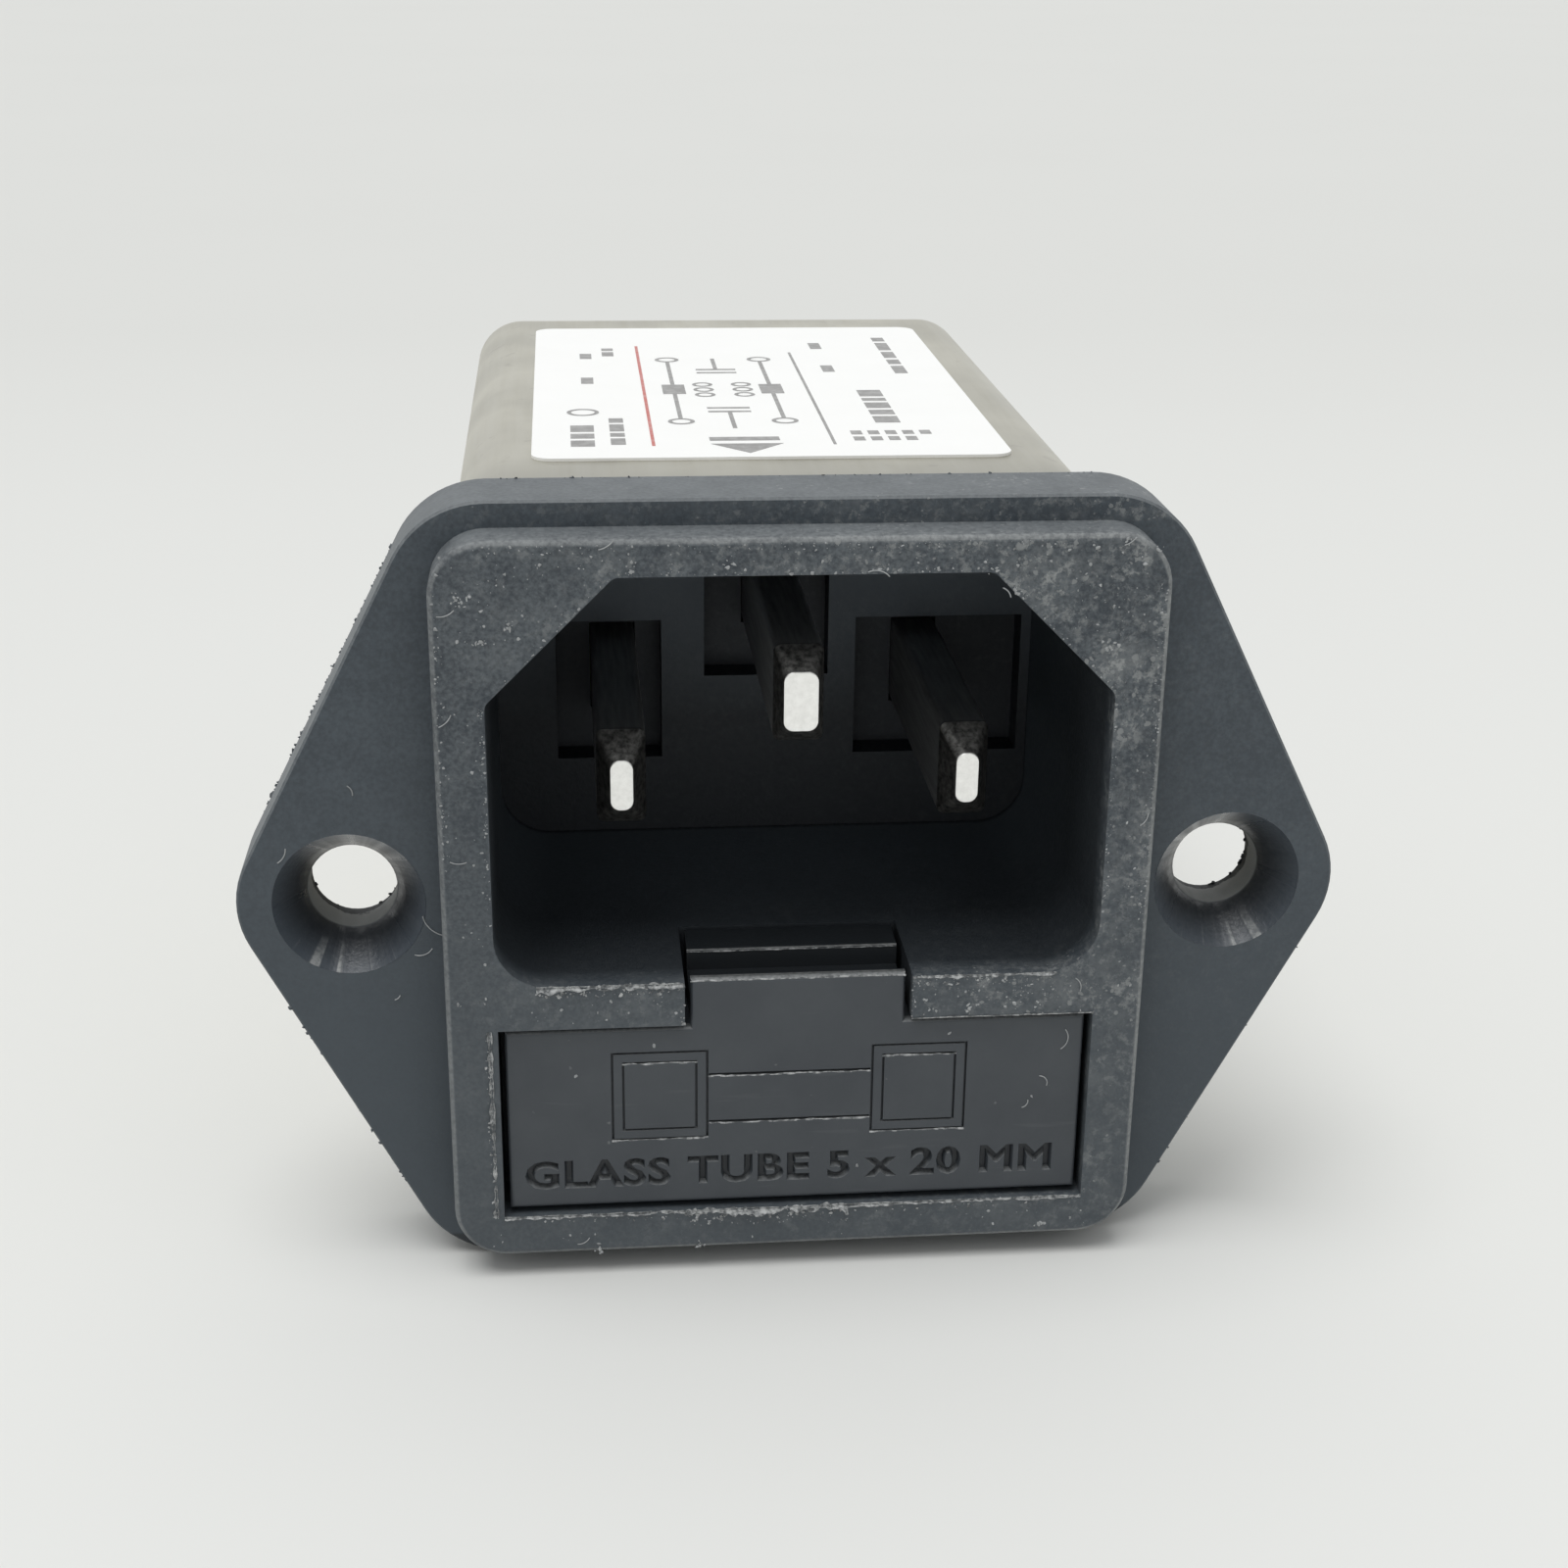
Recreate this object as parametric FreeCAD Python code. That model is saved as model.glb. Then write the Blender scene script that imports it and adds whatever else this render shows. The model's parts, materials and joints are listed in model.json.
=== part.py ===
# Fused mains inlet with a built-in line filter, modelled as its separate pieces.
# X runs to the right seen from the front, Y runs through the panel to the rear, Z is up.
# The origin lies on the panel face, midway between the two fixing holes. Lengths are in millimetres.
import FreeCAD
import Part

import math
import os

from FreeCAD import Vector

AXIS_X = Vector(1, 0, 0)
AXIS_Y = Vector(0, 1, 0)
WIRE_SIDES = 8

# Cartridge fuse, the driving size of the drawer and its bay
fuse_length = 20.0
fuse_diameter = 5.2
fuse_cap_length = 5.0
fuse_cap_end = 0.4
glass_diameter = 4.8
glass_wall = 0.4
glass_end_gap = 0.1
fuse_wire_diameter = 0.3

# Spring clips that grip the end caps of the fuse
clip_sheet = 0.4
clip_width = 4.0
clip_fit = 0.05
clip_flare = 0.5
clip_flare_length = 1.0
clip_mouth_overlap = 0.8
clip_back_gap = 0.2
clip_tail_width = 2.4
clip_spring_room = 0.9

# Fuse drawer
drawer_gap = 0.25
drawer_wall = 1.0
drawer_cheek = 0.7
fuse_end_gap = 0.25
fuse_side_gap = 0.1
spare_pocket_gap = 0.4
cradle_side_gap = 1.2
cradle_lip = 1.4
plate_recess = 0.3
plate_thickness = 2.6
plate_edge_radius = 0.2
tab_width = 8.8
tab_lip = 0.6
tab_groove = 2.2
tab_groove_depth = 0.9
tongue_length = 2.1
cheek_overlap = 1.5

# Step between the mouth of the bay and its tunnel, which stops the drawer
seat_step_side = 1.0
seat_step_top = 0.4
lip_room = 0.5

# Inlet opening, the three-pin shape with two cut corners
inlet_width = 24.5
inlet_height = 17.0
inlet_cut = 5.0
inlet_corner_radius = 2.2
inlet_cut_radius = 0.5
inlet_depth = 16.5
inlet_floor_wall = 1.5

# Contact pins
pin_spacing = 14.0
pin_rise = 4.0
pin_drop = 0.9
pin_thickness = 2.0
pin_height = 4.0
pin_edge_radius = 0.3
pin_tip_length = 1.2
pin_tip_radius = 0.4
live_tip_thickness = 0.9
live_tip_height = 2.1
earth_tip_thickness = 1.35
earth_tip_height = 2.4
live_tip_recess = 2.6
earth_tip_recess = 0.9
pin_fit = 0.05
pin_tail_thickness = 1.2
pin_tail_height = 2.4
pin_pocket_depth = 1.6
line_pocket_inner = 2.2
line_pocket_outer = 2.6
neutral_pocket_inner = 2.9
neutral_pocket_outer = 4.8
live_pocket_rise = 2.6
live_pocket_drop = 4.0
earth_pocket_width = 5.7
earth_pocket_drop = 4.1

# Bezel that stands proud of the flange
side_margin = 2.0
top_margin = 1.46
web = 1.9
bottom_margin = 1.86
bezel_depth = 2.0
bezel_corner_radius = 2.2
bezel_edge_radius = 0.3

# Hexagonal fixing flange, rear face on the panel
flange_margin = 1.04
flange_thickness = 3.6
flange_flat = 29.0
flange_tip_margin = 4.95
flange_corner_radius = 4.0
flange_tip_radius = 4.0
flange_edge = 0.1
hole_diameter = 3.6
countersink_diameter = 6.1
countersink_angle = 66.0
hole_land = 0.7

# Drawn metal can
shroud_wall = 1.0
can_fit = 0.05
can_sheet = 0.4
can_inset = 0.06
can_length = 42.0
can_edge_radius = 2.5
can_rear_radius = 1.6
collar_length = 1.0
barb_length = 2.0
barb_height = 5.0
barb_offset = 8.0
barb_setback = 4.0
barb_rise = 0.35
window_gap = 0.15

# Printed label stuck on top of the can
label_width = 20.8
label_length = 31.0
label_front = 7.4
label_thickness = 0.12
label_corner_radius = 0.9

# Filter board on four posts behind the housing
post_width = 3.0
post_length = 2.0
post_inset = 2.6
board_thickness = 1.6
board_gap = 0.5
board_corner_radius = 1.6
lead_fit = 0.05

# Common-mode choke, two windings on one ring core
core_outer_diameter = 17.0
core_inner_diameter = 9.0
core_height = 7.0
core_fit = 0.05
choke_wire_diameter = 1.0
choke_turns = 7
choke_turn_angle = 16.0
choke_roof_gap = 1.6
choke_foot_sheet = 0.8
choke_foot_rim = 0.3

# Capacitors and resistor
x_cap_width = 18.0
x_cap_height = 11.0
x_cap_lead_spacing = 15.0
x_cap_edge = 0.4
x_cap_wall_gap = 0.7
tail_gap = 0.6
lead_diameter = 0.8
y_cap_diameter = 8.0
y_cap_lift = 0.5
y_cap_lead_spacing = 5.0
y_cap_wall_gap = 0.35
y_cap_choke_gap = 0.1
resistor_diameter = 2.4
resistor_length = 6.4
resistor_lift = 0.5
resistor_lead_spacing = 2.6
resistor_post_gap = 0.25

# Earth strap from the board to the roof of the can
strap_sheet = 0.35
strap_width = 4.0
strap_roof_length = 9.0
strap_foot = 1.6

# Insulating liner inside the can
liner_sheet = 0.25
liner_fit = 0.05
liner_front_gap = 0.4
liner_rear_gap = 0.4
liner_top_gap = 2.5

# Terminal base and blade tabs at the rear
tab_blade_width = 6.3
tab_blade_sheet = 0.8
tab_blade_length = 7.8
tab_hole_diameter = 1.7
tab_hole_setback = 4.0
tab_tip_cut = 1.2
tab_spacing = 11.6
tab_shoulder = 0.7
tab_shoulder_length = 1.6
tab_tail_width = 2.4
tab_fit = 0.05
base_plate = 1.6
base_rim = 1.5
base_collar = 1.4
base_collar_side = 1.2
base_collar_height = 3.0
base_collar_radius = 1.0
window_fit = 0.1
earth_tab_rise = 7.0
earth_foot_height = 7.0
earth_foot_width = 7.0
rivet_diameter = 3.0
rivet_head_diameter = 5.0
rivet_top_diameter = 3.2
rivet_head_height = 1.0
rivet_fit = 0.05

# Depths, counted from the panel face
face_y = -(flange_thickness + bezel_depth)
plate_front_y = face_y + plate_recess
plate_rear_y = plate_front_y + plate_thickness
groove_front_y = plate_front_y + tab_lip
groove_rear_y = groove_front_y + tab_groove
tongue_rear_y = max(groove_rear_y, plate_rear_y) + tongue_length
spare_rear_y = tongue_rear_y + fuse_diameter + spare_pocket_gap
cradle_front_y = spare_rear_y + drawer_wall
fuse_y = cradle_front_y + fuse_side_gap + fuse_diameter / 2
lip_rear_y = fuse_y + glass_diameter / 2 + fuse_side_gap + cradle_lip
clip_front_y = fuse_y + fuse_diameter / 2 + clip_back_gap
clip_seat_y = clip_front_y + clip_sheet
lip_pocket_y = max(lip_rear_y, clip_seat_y) + lip_room
inlet_floor_y = face_y + inlet_depth
pocket_floor_y = inlet_floor_y + pin_pocket_depth
housing_rear_y = max(pocket_floor_y, lip_pocket_y) + inlet_floor_wall
board_front_y = housing_rear_y + post_length
board_rear_y = board_front_y + board_thickness
can_front_y = collar_length
can_rear_y = can_front_y + can_length
can_inner_rear_y = can_rear_y - can_sheet
base_front_y = can_inner_rear_y - base_plate

# Heights and widths, counted from the line between the fixing holes
tunnel_height = fuse_diameter + 2 * (clip_fit + clip_sheet + clip_spring_room)
bay_height = tunnel_height + 2 * seat_step_top
tunnel_width = fuse_length + 2 * (fuse_end_gap + drawer_cheek + drawer_gap)
bay_width = tunnel_width + 2 * seat_step_side
bezel_height = top_margin + inlet_height + web + bay_height + bottom_margin
bezel_width = max(inlet_width, bay_width) + 2 * side_margin
flange_height = bezel_height + 2 * flange_margin
hole_spacing = bezel_width + countersink_diameter + 2 * hole_land
inlet_top_z = bezel_height / 2 - top_margin
inlet_bottom_z = inlet_top_z - inlet_height
bay_top_z = inlet_bottom_z - web
bay_bottom_z = bay_top_z - bay_height
fuse_z = (bay_top_z + bay_bottom_z) / 2
live_pin_z = (inlet_top_z + inlet_bottom_z) / 2 - pin_drop
earth_pin_z = live_pin_z + pin_rise
can_width = max(inlet_width, bay_width) + 2 * (shroud_wall + can_fit + can_sheet)
can_height = bezel_height - 2 * can_inset
can_inner_width = can_width - 2 * can_sheet
can_inner_height = can_height - 2 * can_sheet
can_inner_radius = can_edge_radius - can_sheet
body_width = can_inner_width - 2 * can_fit
body_height = can_inner_height - 2 * can_fit
clip_x = (fuse_length - fuse_cap_length) / 2
cradle_half_width = clip_x - clip_width / 2 - cradle_side_gap
post_x = body_width / 2 - post_inset
post_z = body_height / 2 - post_inset
board_width = can_inner_width - 2 * board_gap
board_height = can_inner_height - 2 * board_gap
choke_reach = core_outer_diameter / 2 + core_fit + choke_wire_diameter
choke_z = can_inner_height / 2 - choke_roof_gap - choke_foot_rim - choke_reach
choke_seat_y = board_rear_y + choke_foot_sheet
choke_base_y = choke_seat_y + choke_wire_diameter + core_fit
y_cap_outer_x = can_inner_width / 2 - y_cap_wall_gap
y_cap_inner_x = choke_reach + choke_foot_rim + y_cap_choke_gap
y_cap_thickness = y_cap_outer_x - y_cap_inner_x
y_cap_x = (y_cap_outer_x + y_cap_inner_x) / 2
resistor_x = -(x_cap_width + can_inner_width) / 4
resistor_low_z = -post_z + post_width / 2 + resistor_post_gap + lead_diameter / 2
tab_z = choke_z - choke_reach - choke_foot_rim - tail_gap - tab_blade_sheet / 2
x_cap_top_z = tab_z - tab_blade_sheet / 2 - tail_gap
x_cap_bottom_z = -can_inner_height / 2 + x_cap_wall_gap
x_cap_thickness = x_cap_top_z - x_cap_bottom_z
x_cap_z = (x_cap_top_z + x_cap_bottom_z) / 2
blade_rear_y = can_rear_y + base_collar + tab_blade_length


def block(x_low, x_high, y_low, y_high, z_low, z_high):
    """A rectangular block between two corners."""
    size = (x_high - x_low, y_high - y_low, z_high - z_low)
    return Part.makeBox(*size, Vector(x_low, y_low, z_low))


def plate_block(width, height, y_low, y_high, x=0.0, z=0.0):
    """A block centred on x and z."""
    return block(x - width / 2, x + width / 2, y_low, y_high, z - height / 2, z + height / 2)


def edges_along(shape, axis):
    """The straight edges that run along an axis."""
    found = []
    for edge in shape.Edges:
        if edge.Curve.TypeId == "Part::GeomLine" and abs(edge.Curve.Direction.dot(axis)) > 0.999:
            found.append(edge)
    return found


def rounded_block(width, height, y_low, y_high, radius, x=0.0, z=0.0):
    """A centred block with its four long edges rounded."""
    solid = plate_block(width, height, y_low, y_high, x, z)
    return solid.makeFillet(radius, edges_along(solid, AXIS_Y))


def prism(points, y_low, y_high):
    """A polygon in X and Z, extruded along Y."""
    corners = [Vector(x, y_low, z) for x, z in points]
    face = Part.Face(Part.makePolygon(corners + corners[:1]))
    return face.extrude(Vector(0, y_high - y_low, 0))


def profile_along_x(points, x_low, x_high):
    """A polygon in Y and Z, extruded along X."""
    corners = [Vector(x_low, y, z) for y, z in points]
    face = Part.Face(Part.makePolygon(corners + corners[:1]))
    return face.extrude(Vector(x_high - x_low, 0, 0))


def rod_y(diameter, y_low, y_high, x, z):
    """A round rod along Y."""
    return Part.makeCylinder(diameter / 2, y_high - y_low, Vector(x, y_low, z), AXIS_Y)


def rod_x(diameter, x_low, x_high, y, z):
    """A round rod along X."""
    return Part.makeCylinder(diameter / 2, x_high - x_low, Vector(x_low, y, z), AXIS_X)


def wire_ring(diameter, middle, axis):
    """The eight-sided section of a wire, with its corners on the round wire's circle."""
    ring = Part.makeCircle(diameter / 2, middle, axis)
    return Part.makePolygon(ring.discretize(WIRE_SIDES + 1))


def lead_y(diameter, y_low, y_high, x, z):
    """A wire lead, or the hole for one, along Y."""
    section = Part.Face(wire_ring(diameter, Vector(x, y_low, z), AXIS_Y))
    return section.extrude(Vector(0, y_high - y_low, 0))


def edges_in_plane(shape, y):
    """The edges that lie wholly in one plane across Y."""
    return [edge for edge in shape.Edges
            if abs(edge.BoundBox.YMin - y) < 1e-4 and abs(edge.BoundBox.YMax - y) < 1e-4]


def bent_wire(points, diameter, closed):
    """A wire along straight runs with mitred corners, starting square to its first run."""
    path = Part.makePolygon(points + points[:1] if closed else points)
    ring = wire_ring(diameter, points[0], points[1] - points[0])
    return path.makePipeShell([ring], True, False, 1)


def mirrored(shape):
    """The same shape on the other side of the middle plane."""
    return shape.mirror(Vector(0, 0, 0), AXIS_X)


# Moulded inlet housing

def flange():
    """The hexagonal plate with rounded tips and corners."""
    half_tip = hole_spacing / 2 + flange_tip_margin
    half_flat = flange_flat / 2
    half_height = flange_height / 2
    outline = [(-half_tip, 0), (-half_flat, -half_height), (half_flat, -half_height),
               (half_tip, 0), (half_flat, half_height), (-half_flat, half_height)]
    plate = prism(outline, -flange_thickness, 0)
    tips = [edge for edge in edges_along(plate, AXIS_Y) if abs(edge.CenterOfMass.z) < half_height / 2]
    plate = plate.makeFillet(flange_tip_radius, tips)
    corners = [edge for edge in edges_along(plate, AXIS_Y)
               if abs(abs(edge.CenterOfMass.z) - half_height) < 1e-4]
    plate = plate.makeFillet(flange_corner_radius, corners)
    return plate.makeChamfer(flange_edge, edges_in_plane(plate, -flange_thickness))


def fixing_hole(x):
    """The cutter of one countersunk screw hole."""
    sink_depth = (countersink_diameter - hole_diameter) / 2 / math.tan(math.radians(countersink_angle / 2))
    front = -flange_thickness
    hole = rod_y(hole_diameter, front, 0, x, 0)
    sink = Part.makeCone(countersink_diameter / 2, hole_diameter / 2, sink_depth, Vector(x, front, 0), AXIS_Y)
    return hole.fuse(sink)


def inlet_cavity():
    """The cutter of the plug opening."""
    half = inlet_width / 2
    outline = [(-half, inlet_bottom_z), (half, inlet_bottom_z), (half, inlet_top_z - inlet_cut),
               (half - inlet_cut, inlet_top_z), (inlet_cut - half, inlet_top_z),
               (-half, inlet_top_z - inlet_cut)]
    solid = prism(outline, face_y, inlet_floor_y)
    low = [edge for edge in edges_along(solid, AXIS_Y) if abs(edge.CenterOfMass.z - inlet_bottom_z) < 1e-4]
    solid = solid.makeFillet(inlet_corner_radius, low)
    high = [edge for edge in edges_along(solid, AXIS_Y)
            if edge.CenterOfMass.z > inlet_top_z - inlet_cut - 1e-4]
    return solid.makeFillet(inlet_cut_radius, high)


def pin_places():
    """The middle of each contact pin, as its x, z and how far its tip stands behind the face."""
    return [(-pin_spacing / 2, live_pin_z, live_tip_recess),
            (pin_spacing / 2, live_pin_z, live_tip_recess),
            (0.0, earth_pin_z, earth_tip_recess)]


def pin_pockets():
    """The cutters of the shallow pockets round the pins; the upper one reaches the inlet's roof."""
    half = pin_spacing / 2
    low = live_pin_z - live_pocket_drop
    high = live_pin_z + live_pocket_rise
    line = block(-half - line_pocket_outer, -half + line_pocket_inner, inlet_floor_y, pocket_floor_y,
                 low, high)
    neutral = block(half - neutral_pocket_inner, half + neutral_pocket_outer, inlet_floor_y, pocket_floor_y,
                    low, high)
    earth = block(-earth_pocket_width / 2, earth_pocket_width / 2, inlet_floor_y, pocket_floor_y,
                  earth_pin_z - earth_pocket_drop, inlet_top_z)
    return [line, neutral, earth]


def drawer_bay():
    """The cutter of the fuse drawer's bay, with its mouth, tongue notch, tunnel and lip pocket."""
    mouth = plate_block(bay_width, bay_height, face_y, plate_rear_y, 0, fuse_z)
    notch = block(-tab_width / 2 - drawer_gap, tab_width / 2 + drawer_gap, face_y, tongue_rear_y + drawer_gap,
                  fuse_z, inlet_bottom_z)
    tunnel = plate_block(tunnel_width, tunnel_height, plate_rear_y, clip_seat_y, 0, fuse_z)
    lip_half = cradle_half_width + drawer_gap
    lip_pocket = plate_block(2 * lip_half, tunnel_height, clip_seat_y, lip_pocket_y, 0, fuse_z)
    return mouth.multiFuse([notch, tunnel, lip_pocket])


def snap_barb(z):
    """A ramped barb on the right wall that holds the can."""
    wall_x = body_width / 2
    front_y = can_front_y + barb_setback
    corners = [Vector(wall_x, front_y, z - barb_height / 2),
               Vector(wall_x + barb_rise, front_y, z - barb_height / 2),
               Vector(wall_x, front_y + barb_length, z - barb_height / 2)]
    face = Part.Face(Part.makePolygon(corners + corners[:1]))
    return face.extrude(Vector(0, 0, barb_height))


def inlet_housing():
    """The one-piece moulding: bezel, flange, plug shroud, fuse bay and board posts."""
    bezel = rounded_block(bezel_width, bezel_height, face_y, -flange_thickness, bezel_corner_radius)
    bezel = bezel.makeFillet(bezel_edge_radius, edges_in_plane(bezel, face_y))
    collar = rounded_block(can_width, can_height, 0, can_front_y, can_edge_radius)
    body = rounded_block(body_width, body_height, can_front_y, housing_rear_y, can_inner_radius - can_fit)
    posts = [plate_block(post_width, post_width, housing_rear_y, board_front_y, x, z)
             for x in (-post_x, post_x) for z in (-post_z, post_z)]
    barbs = [snap_barb(z) for z in (-barb_offset, barb_offset)]
    barbs += [mirrored(barb) for barb in barbs]
    solid = flange().multiFuse([bezel, collar, body] + posts + barbs)
    cutters = [fixing_hole(-hole_spacing / 2), fixing_hole(hole_spacing / 2), inlet_cavity(), drawer_bay()]
    cutters += pin_pockets()
    for x, z, _ in pin_places():
        cutters.append(plate_block(pin_thickness + 2 * pin_fit, pin_height + 2 * pin_fit,
                                   pocket_floor_y, housing_rear_y, x, z))
    for x in (-clip_x, clip_x):
        cutters.append(plate_block(clip_tail_width + 2 * clip_fit, clip_sheet + 2 * clip_fit,
                                   clip_seat_y, housing_rear_y, x, fuse_z))
    return solid.cut(cutters).removeSplitter()


# Contact pins

def rounded_wire(width, height, radius, x, y, z):
    """A rounded rectangle across Y."""
    solid = rounded_block(width, height, y, y + 1, radius, x, z)
    face = [face for face in solid.Faces if abs(face.CenterOfMass.y - y) < 1e-4][0]
    return face.OuterWire


def contact_pin(x, z, recess, tip_thickness, tip_height):
    """A blade pin with a tapered tip at the front and a solder tail at the rear."""
    tip_y = face_y + recess
    root_y = tip_y + pin_tip_length
    tip = Part.makeLoft([rounded_wire(tip_thickness, tip_height, pin_tip_radius, x, tip_y, z),
                         rounded_wire(pin_thickness, pin_height, pin_edge_radius, x, root_y, z)], True, True)
    blade = rounded_block(pin_thickness, pin_height, root_y, housing_rear_y, pin_edge_radius, x, z)
    tail = plate_block(pin_tail_thickness, pin_tail_height, housing_rear_y, board_rear_y, x, z)
    return tip.multiFuse([blade, tail]).removeSplitter()


# Fuse, its drawer and its clips

def fuse_drawer():
    """The pull-out drawer: front plate, tongue with a pry groove, spare pocket, fuse cradle and cheeks."""
    plate = plate_block(bay_width - 2 * drawer_gap, bay_height - 2 * drawer_gap,
                        plate_front_y, plate_rear_y, 0, fuse_z)
    tongue = block(-tab_width / 2, tab_width / 2, plate_front_y, tongue_rear_y, fuse_z, inlet_bottom_z)
    front = plate.fuse(tongue).removeSplitter()
    front = front.makeFillet(plate_edge_radius, edges_in_plane(front, plate_front_y))
    groove = block(-tab_width / 2, tab_width / 2, groove_front_y, groove_rear_y,
                   inlet_bottom_z - tab_groove_depth, inlet_bottom_z)
    half_width = tunnel_width / 2 - drawer_gap
    low_z = fuse_z - tunnel_height / 2 + drawer_gap
    high_z = fuse_z + tunnel_height / 2 - drawer_gap
    box = block(-half_width, half_width, plate_rear_y, cradle_front_y, low_z, high_z)
    cheeks = [block(half_width - drawer_cheek, half_width, cradle_front_y, fuse_y + cheek_overlap,
                    low_z, high_z)]
    cheeks.append(mirrored(cheeks[0]))
    cradle = block(-cradle_half_width, cradle_half_width, cradle_front_y, lip_rear_y, low_z, fuse_z)
    inner_half = half_width - drawer_cheek
    spare_pocket = block(-inner_half, inner_half, tongue_rear_y, spare_rear_y, low_z + drawer_wall, high_z)
    trough = rod_x(glass_diameter + 2 * fuse_side_gap, -cradle_half_width, cradle_half_width, fuse_y, fuse_z)
    return front.multiFuse([box, cradle] + cheeks).cut([groove, spare_pocket, trough]).removeSplitter()


def fuse_glass():
    """The glass tube of the cartridge fuse."""
    half = fuse_length / 2 - fuse_cap_end - glass_end_gap
    bore = glass_diameter - 2 * glass_wall
    return rod_x(glass_diameter, -half, half, fuse_y, fuse_z).cut(rod_x(bore, -half, half, fuse_y, fuse_z))


def fuse_cap(side):
    """A plated end cap, side -1 for the left and 1 for the right."""
    inner = fuse_length / 2 - fuse_cap_length
    bore_end = fuse_length / 2 - fuse_cap_end
    cup = rod_x(fuse_diameter, inner, fuse_length / 2, fuse_y, fuse_z)
    cup = cup.cut(rod_x(glass_diameter + 2 * clip_fit, inner, bore_end, fuse_y, fuse_z))
    return cup if side > 0 else mirrored(cup)


def fuse_wire():
    """The thin element that runs from cap to cap."""
    half = fuse_length / 2 - fuse_cap_end
    return rod_x(fuse_wire_diameter, -half, half, fuse_y, fuse_z)


def fuse_clip(side):
    """A spring clip with two flared arms over and under one cap and a solder tail to the board."""
    grip = fuse_diameter / 2 + clip_fit
    bend_y = fuse_y - clip_mouth_overlap
    mouth_y = bend_y - clip_flare_length
    inner = [(mouth_y, grip + clip_flare), (bend_y, grip), (clip_front_y, grip)]
    outer = [(mouth_y, grip + clip_flare + clip_sheet), (bend_y, grip + clip_sheet),
             (clip_seat_y, grip + clip_sheet)]
    upper = [(y, fuse_z + z) for y, z in inner]
    lower = [(y, fuse_z - z) for y, z in reversed(inner)]
    lower_outer = [(y, fuse_z - z) for y, z in outer]
    upper_outer = [(y, fuse_z + z) for y, z in reversed(outer)]
    spring = profile_along_x(upper + lower + lower_outer + upper_outer,
                             clip_x - clip_width / 2, clip_x + clip_width / 2)
    tail = plate_block(clip_tail_width, clip_sheet, clip_seat_y, board_rear_y, clip_x, fuse_z)
    clip = spring.fuse(tail).removeSplitter()
    return clip if side > 0 else mirrored(clip)


# Filter board and what is soldered to it

def winding_angles(side):
    """The angle of each turn of one winding, counted from the side's middle."""
    middle = 0.0 if side > 0 else 180.0
    return [middle + (turn - (choke_turns - 1) / 2) * choke_turn_angle for turn in range(choke_turns)]


def turn_leg(angle):
    """Where the outer leg of one turn meets the board, as x and z."""
    reach = core_outer_diameter / 2 + core_fit + choke_wire_diameter / 2
    turned = math.radians(angle)
    return reach * math.cos(turned), choke_z + reach * math.sin(turned)


def lead_places():
    """The x and z of every round lead hole in the board."""
    places = [(side * x_cap_lead_spacing / 2, x_cap_z) for side in (-1, 1)]
    for side in (-1, 1):
        places += [(side * y_cap_x, choke_z + end * y_cap_lead_spacing / 2) for end in (-1, 1)]
    places += [(resistor_x, resistor_low_z + end * resistor_lead_spacing) for end in (0, 1)]
    return places


def filter_board():
    """The circuit board, with slots for the tails and holes for the leads."""
    board = rounded_block(board_width, board_height, board_front_y, board_rear_y, board_corner_radius)
    cutters = []
    for x, z, _ in pin_places():
        cutters.append(plate_block(pin_tail_thickness + 2 * pin_fit, pin_tail_height + 2 * pin_fit,
                                   board_front_y, board_rear_y, x, z))
    for side in (-1, 1):
        cutters.append(plate_block(clip_tail_width + 2 * clip_fit, clip_sheet + 2 * clip_fit,
                                   board_front_y, board_rear_y, side * clip_x, fuse_z))
        cutters.append(plate_block(tab_tail_width + 2 * tab_fit, tab_blade_sheet + 2 * tab_fit,
                                   board_front_y, board_rear_y, side * tab_spacing / 2, tab_z))
        ends = winding_angles(side)
        for angle in (ends[0], ends[-1]):
            x, z = turn_leg(angle)
            cutters.append(lead_y(choke_wire_diameter + 2 * lead_fit, board_front_y, board_rear_y, x, z))
    for x, z in lead_places():
        cutters.append(lead_y(lead_diameter + 2 * lead_fit, board_front_y, board_rear_y, x, z))
    return board.cut(cutters)


def choke_foot():
    """The insulating disc between the choke and the board, with holes for the four legs."""
    disc = rod_y(2 * (choke_reach + choke_foot_rim), board_rear_y, choke_seat_y, 0, choke_z)
    holes = []
    for side in (-1, 1):
        ends = winding_angles(side)
        for angle in (ends[0], ends[-1]):
            x, z = turn_leg(angle)
            holes.append(lead_y(choke_wire_diameter + 2 * lead_fit, board_rear_y, choke_seat_y, x, z))
    return disc.cut(holes)


def choke_core():
    """The ferrite ring, its axis across the board."""
    ring = rod_y(core_outer_diameter, choke_base_y, choke_base_y + core_height, 0, choke_z)
    return ring.cut(rod_y(core_inner_diameter, choke_base_y, choke_base_y + core_height, 0, choke_z))


def wire_turn(angle, is_end):
    """One turn of round wire about the core; an end turn has a leg through the board and stays open."""
    half = choke_wire_diameter / 2
    near = core_inner_diameter / 2 - core_fit - half
    far = core_outer_diameter / 2 + core_fit + half
    low = choke_seat_y + half
    high = choke_base_y + core_height + core_fit + half
    if is_end:
        route = [(far, board_front_y), (far, high), (near, high), (near, low),
                 (far - choke_wire_diameter, low)]
    else:
        route = [(near, (low + high) / 2), (near, high), (far, high), (far, low), (near, low)]
    turn = bent_wire([Vector(x, y, choke_z) for x, y in route], choke_wire_diameter, not is_end)
    turn.rotate(Vector(0, 0, choke_z), AXIS_Y, -angle)
    return turn


def choke_winding(side):
    """The turns of one winding, on the right for side 1 and on the left for side -1."""
    angles = winding_angles(side)
    return Part.makeCompound([wire_turn(angle, angle in (angles[0], angles[-1])) for angle in angles])


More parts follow.
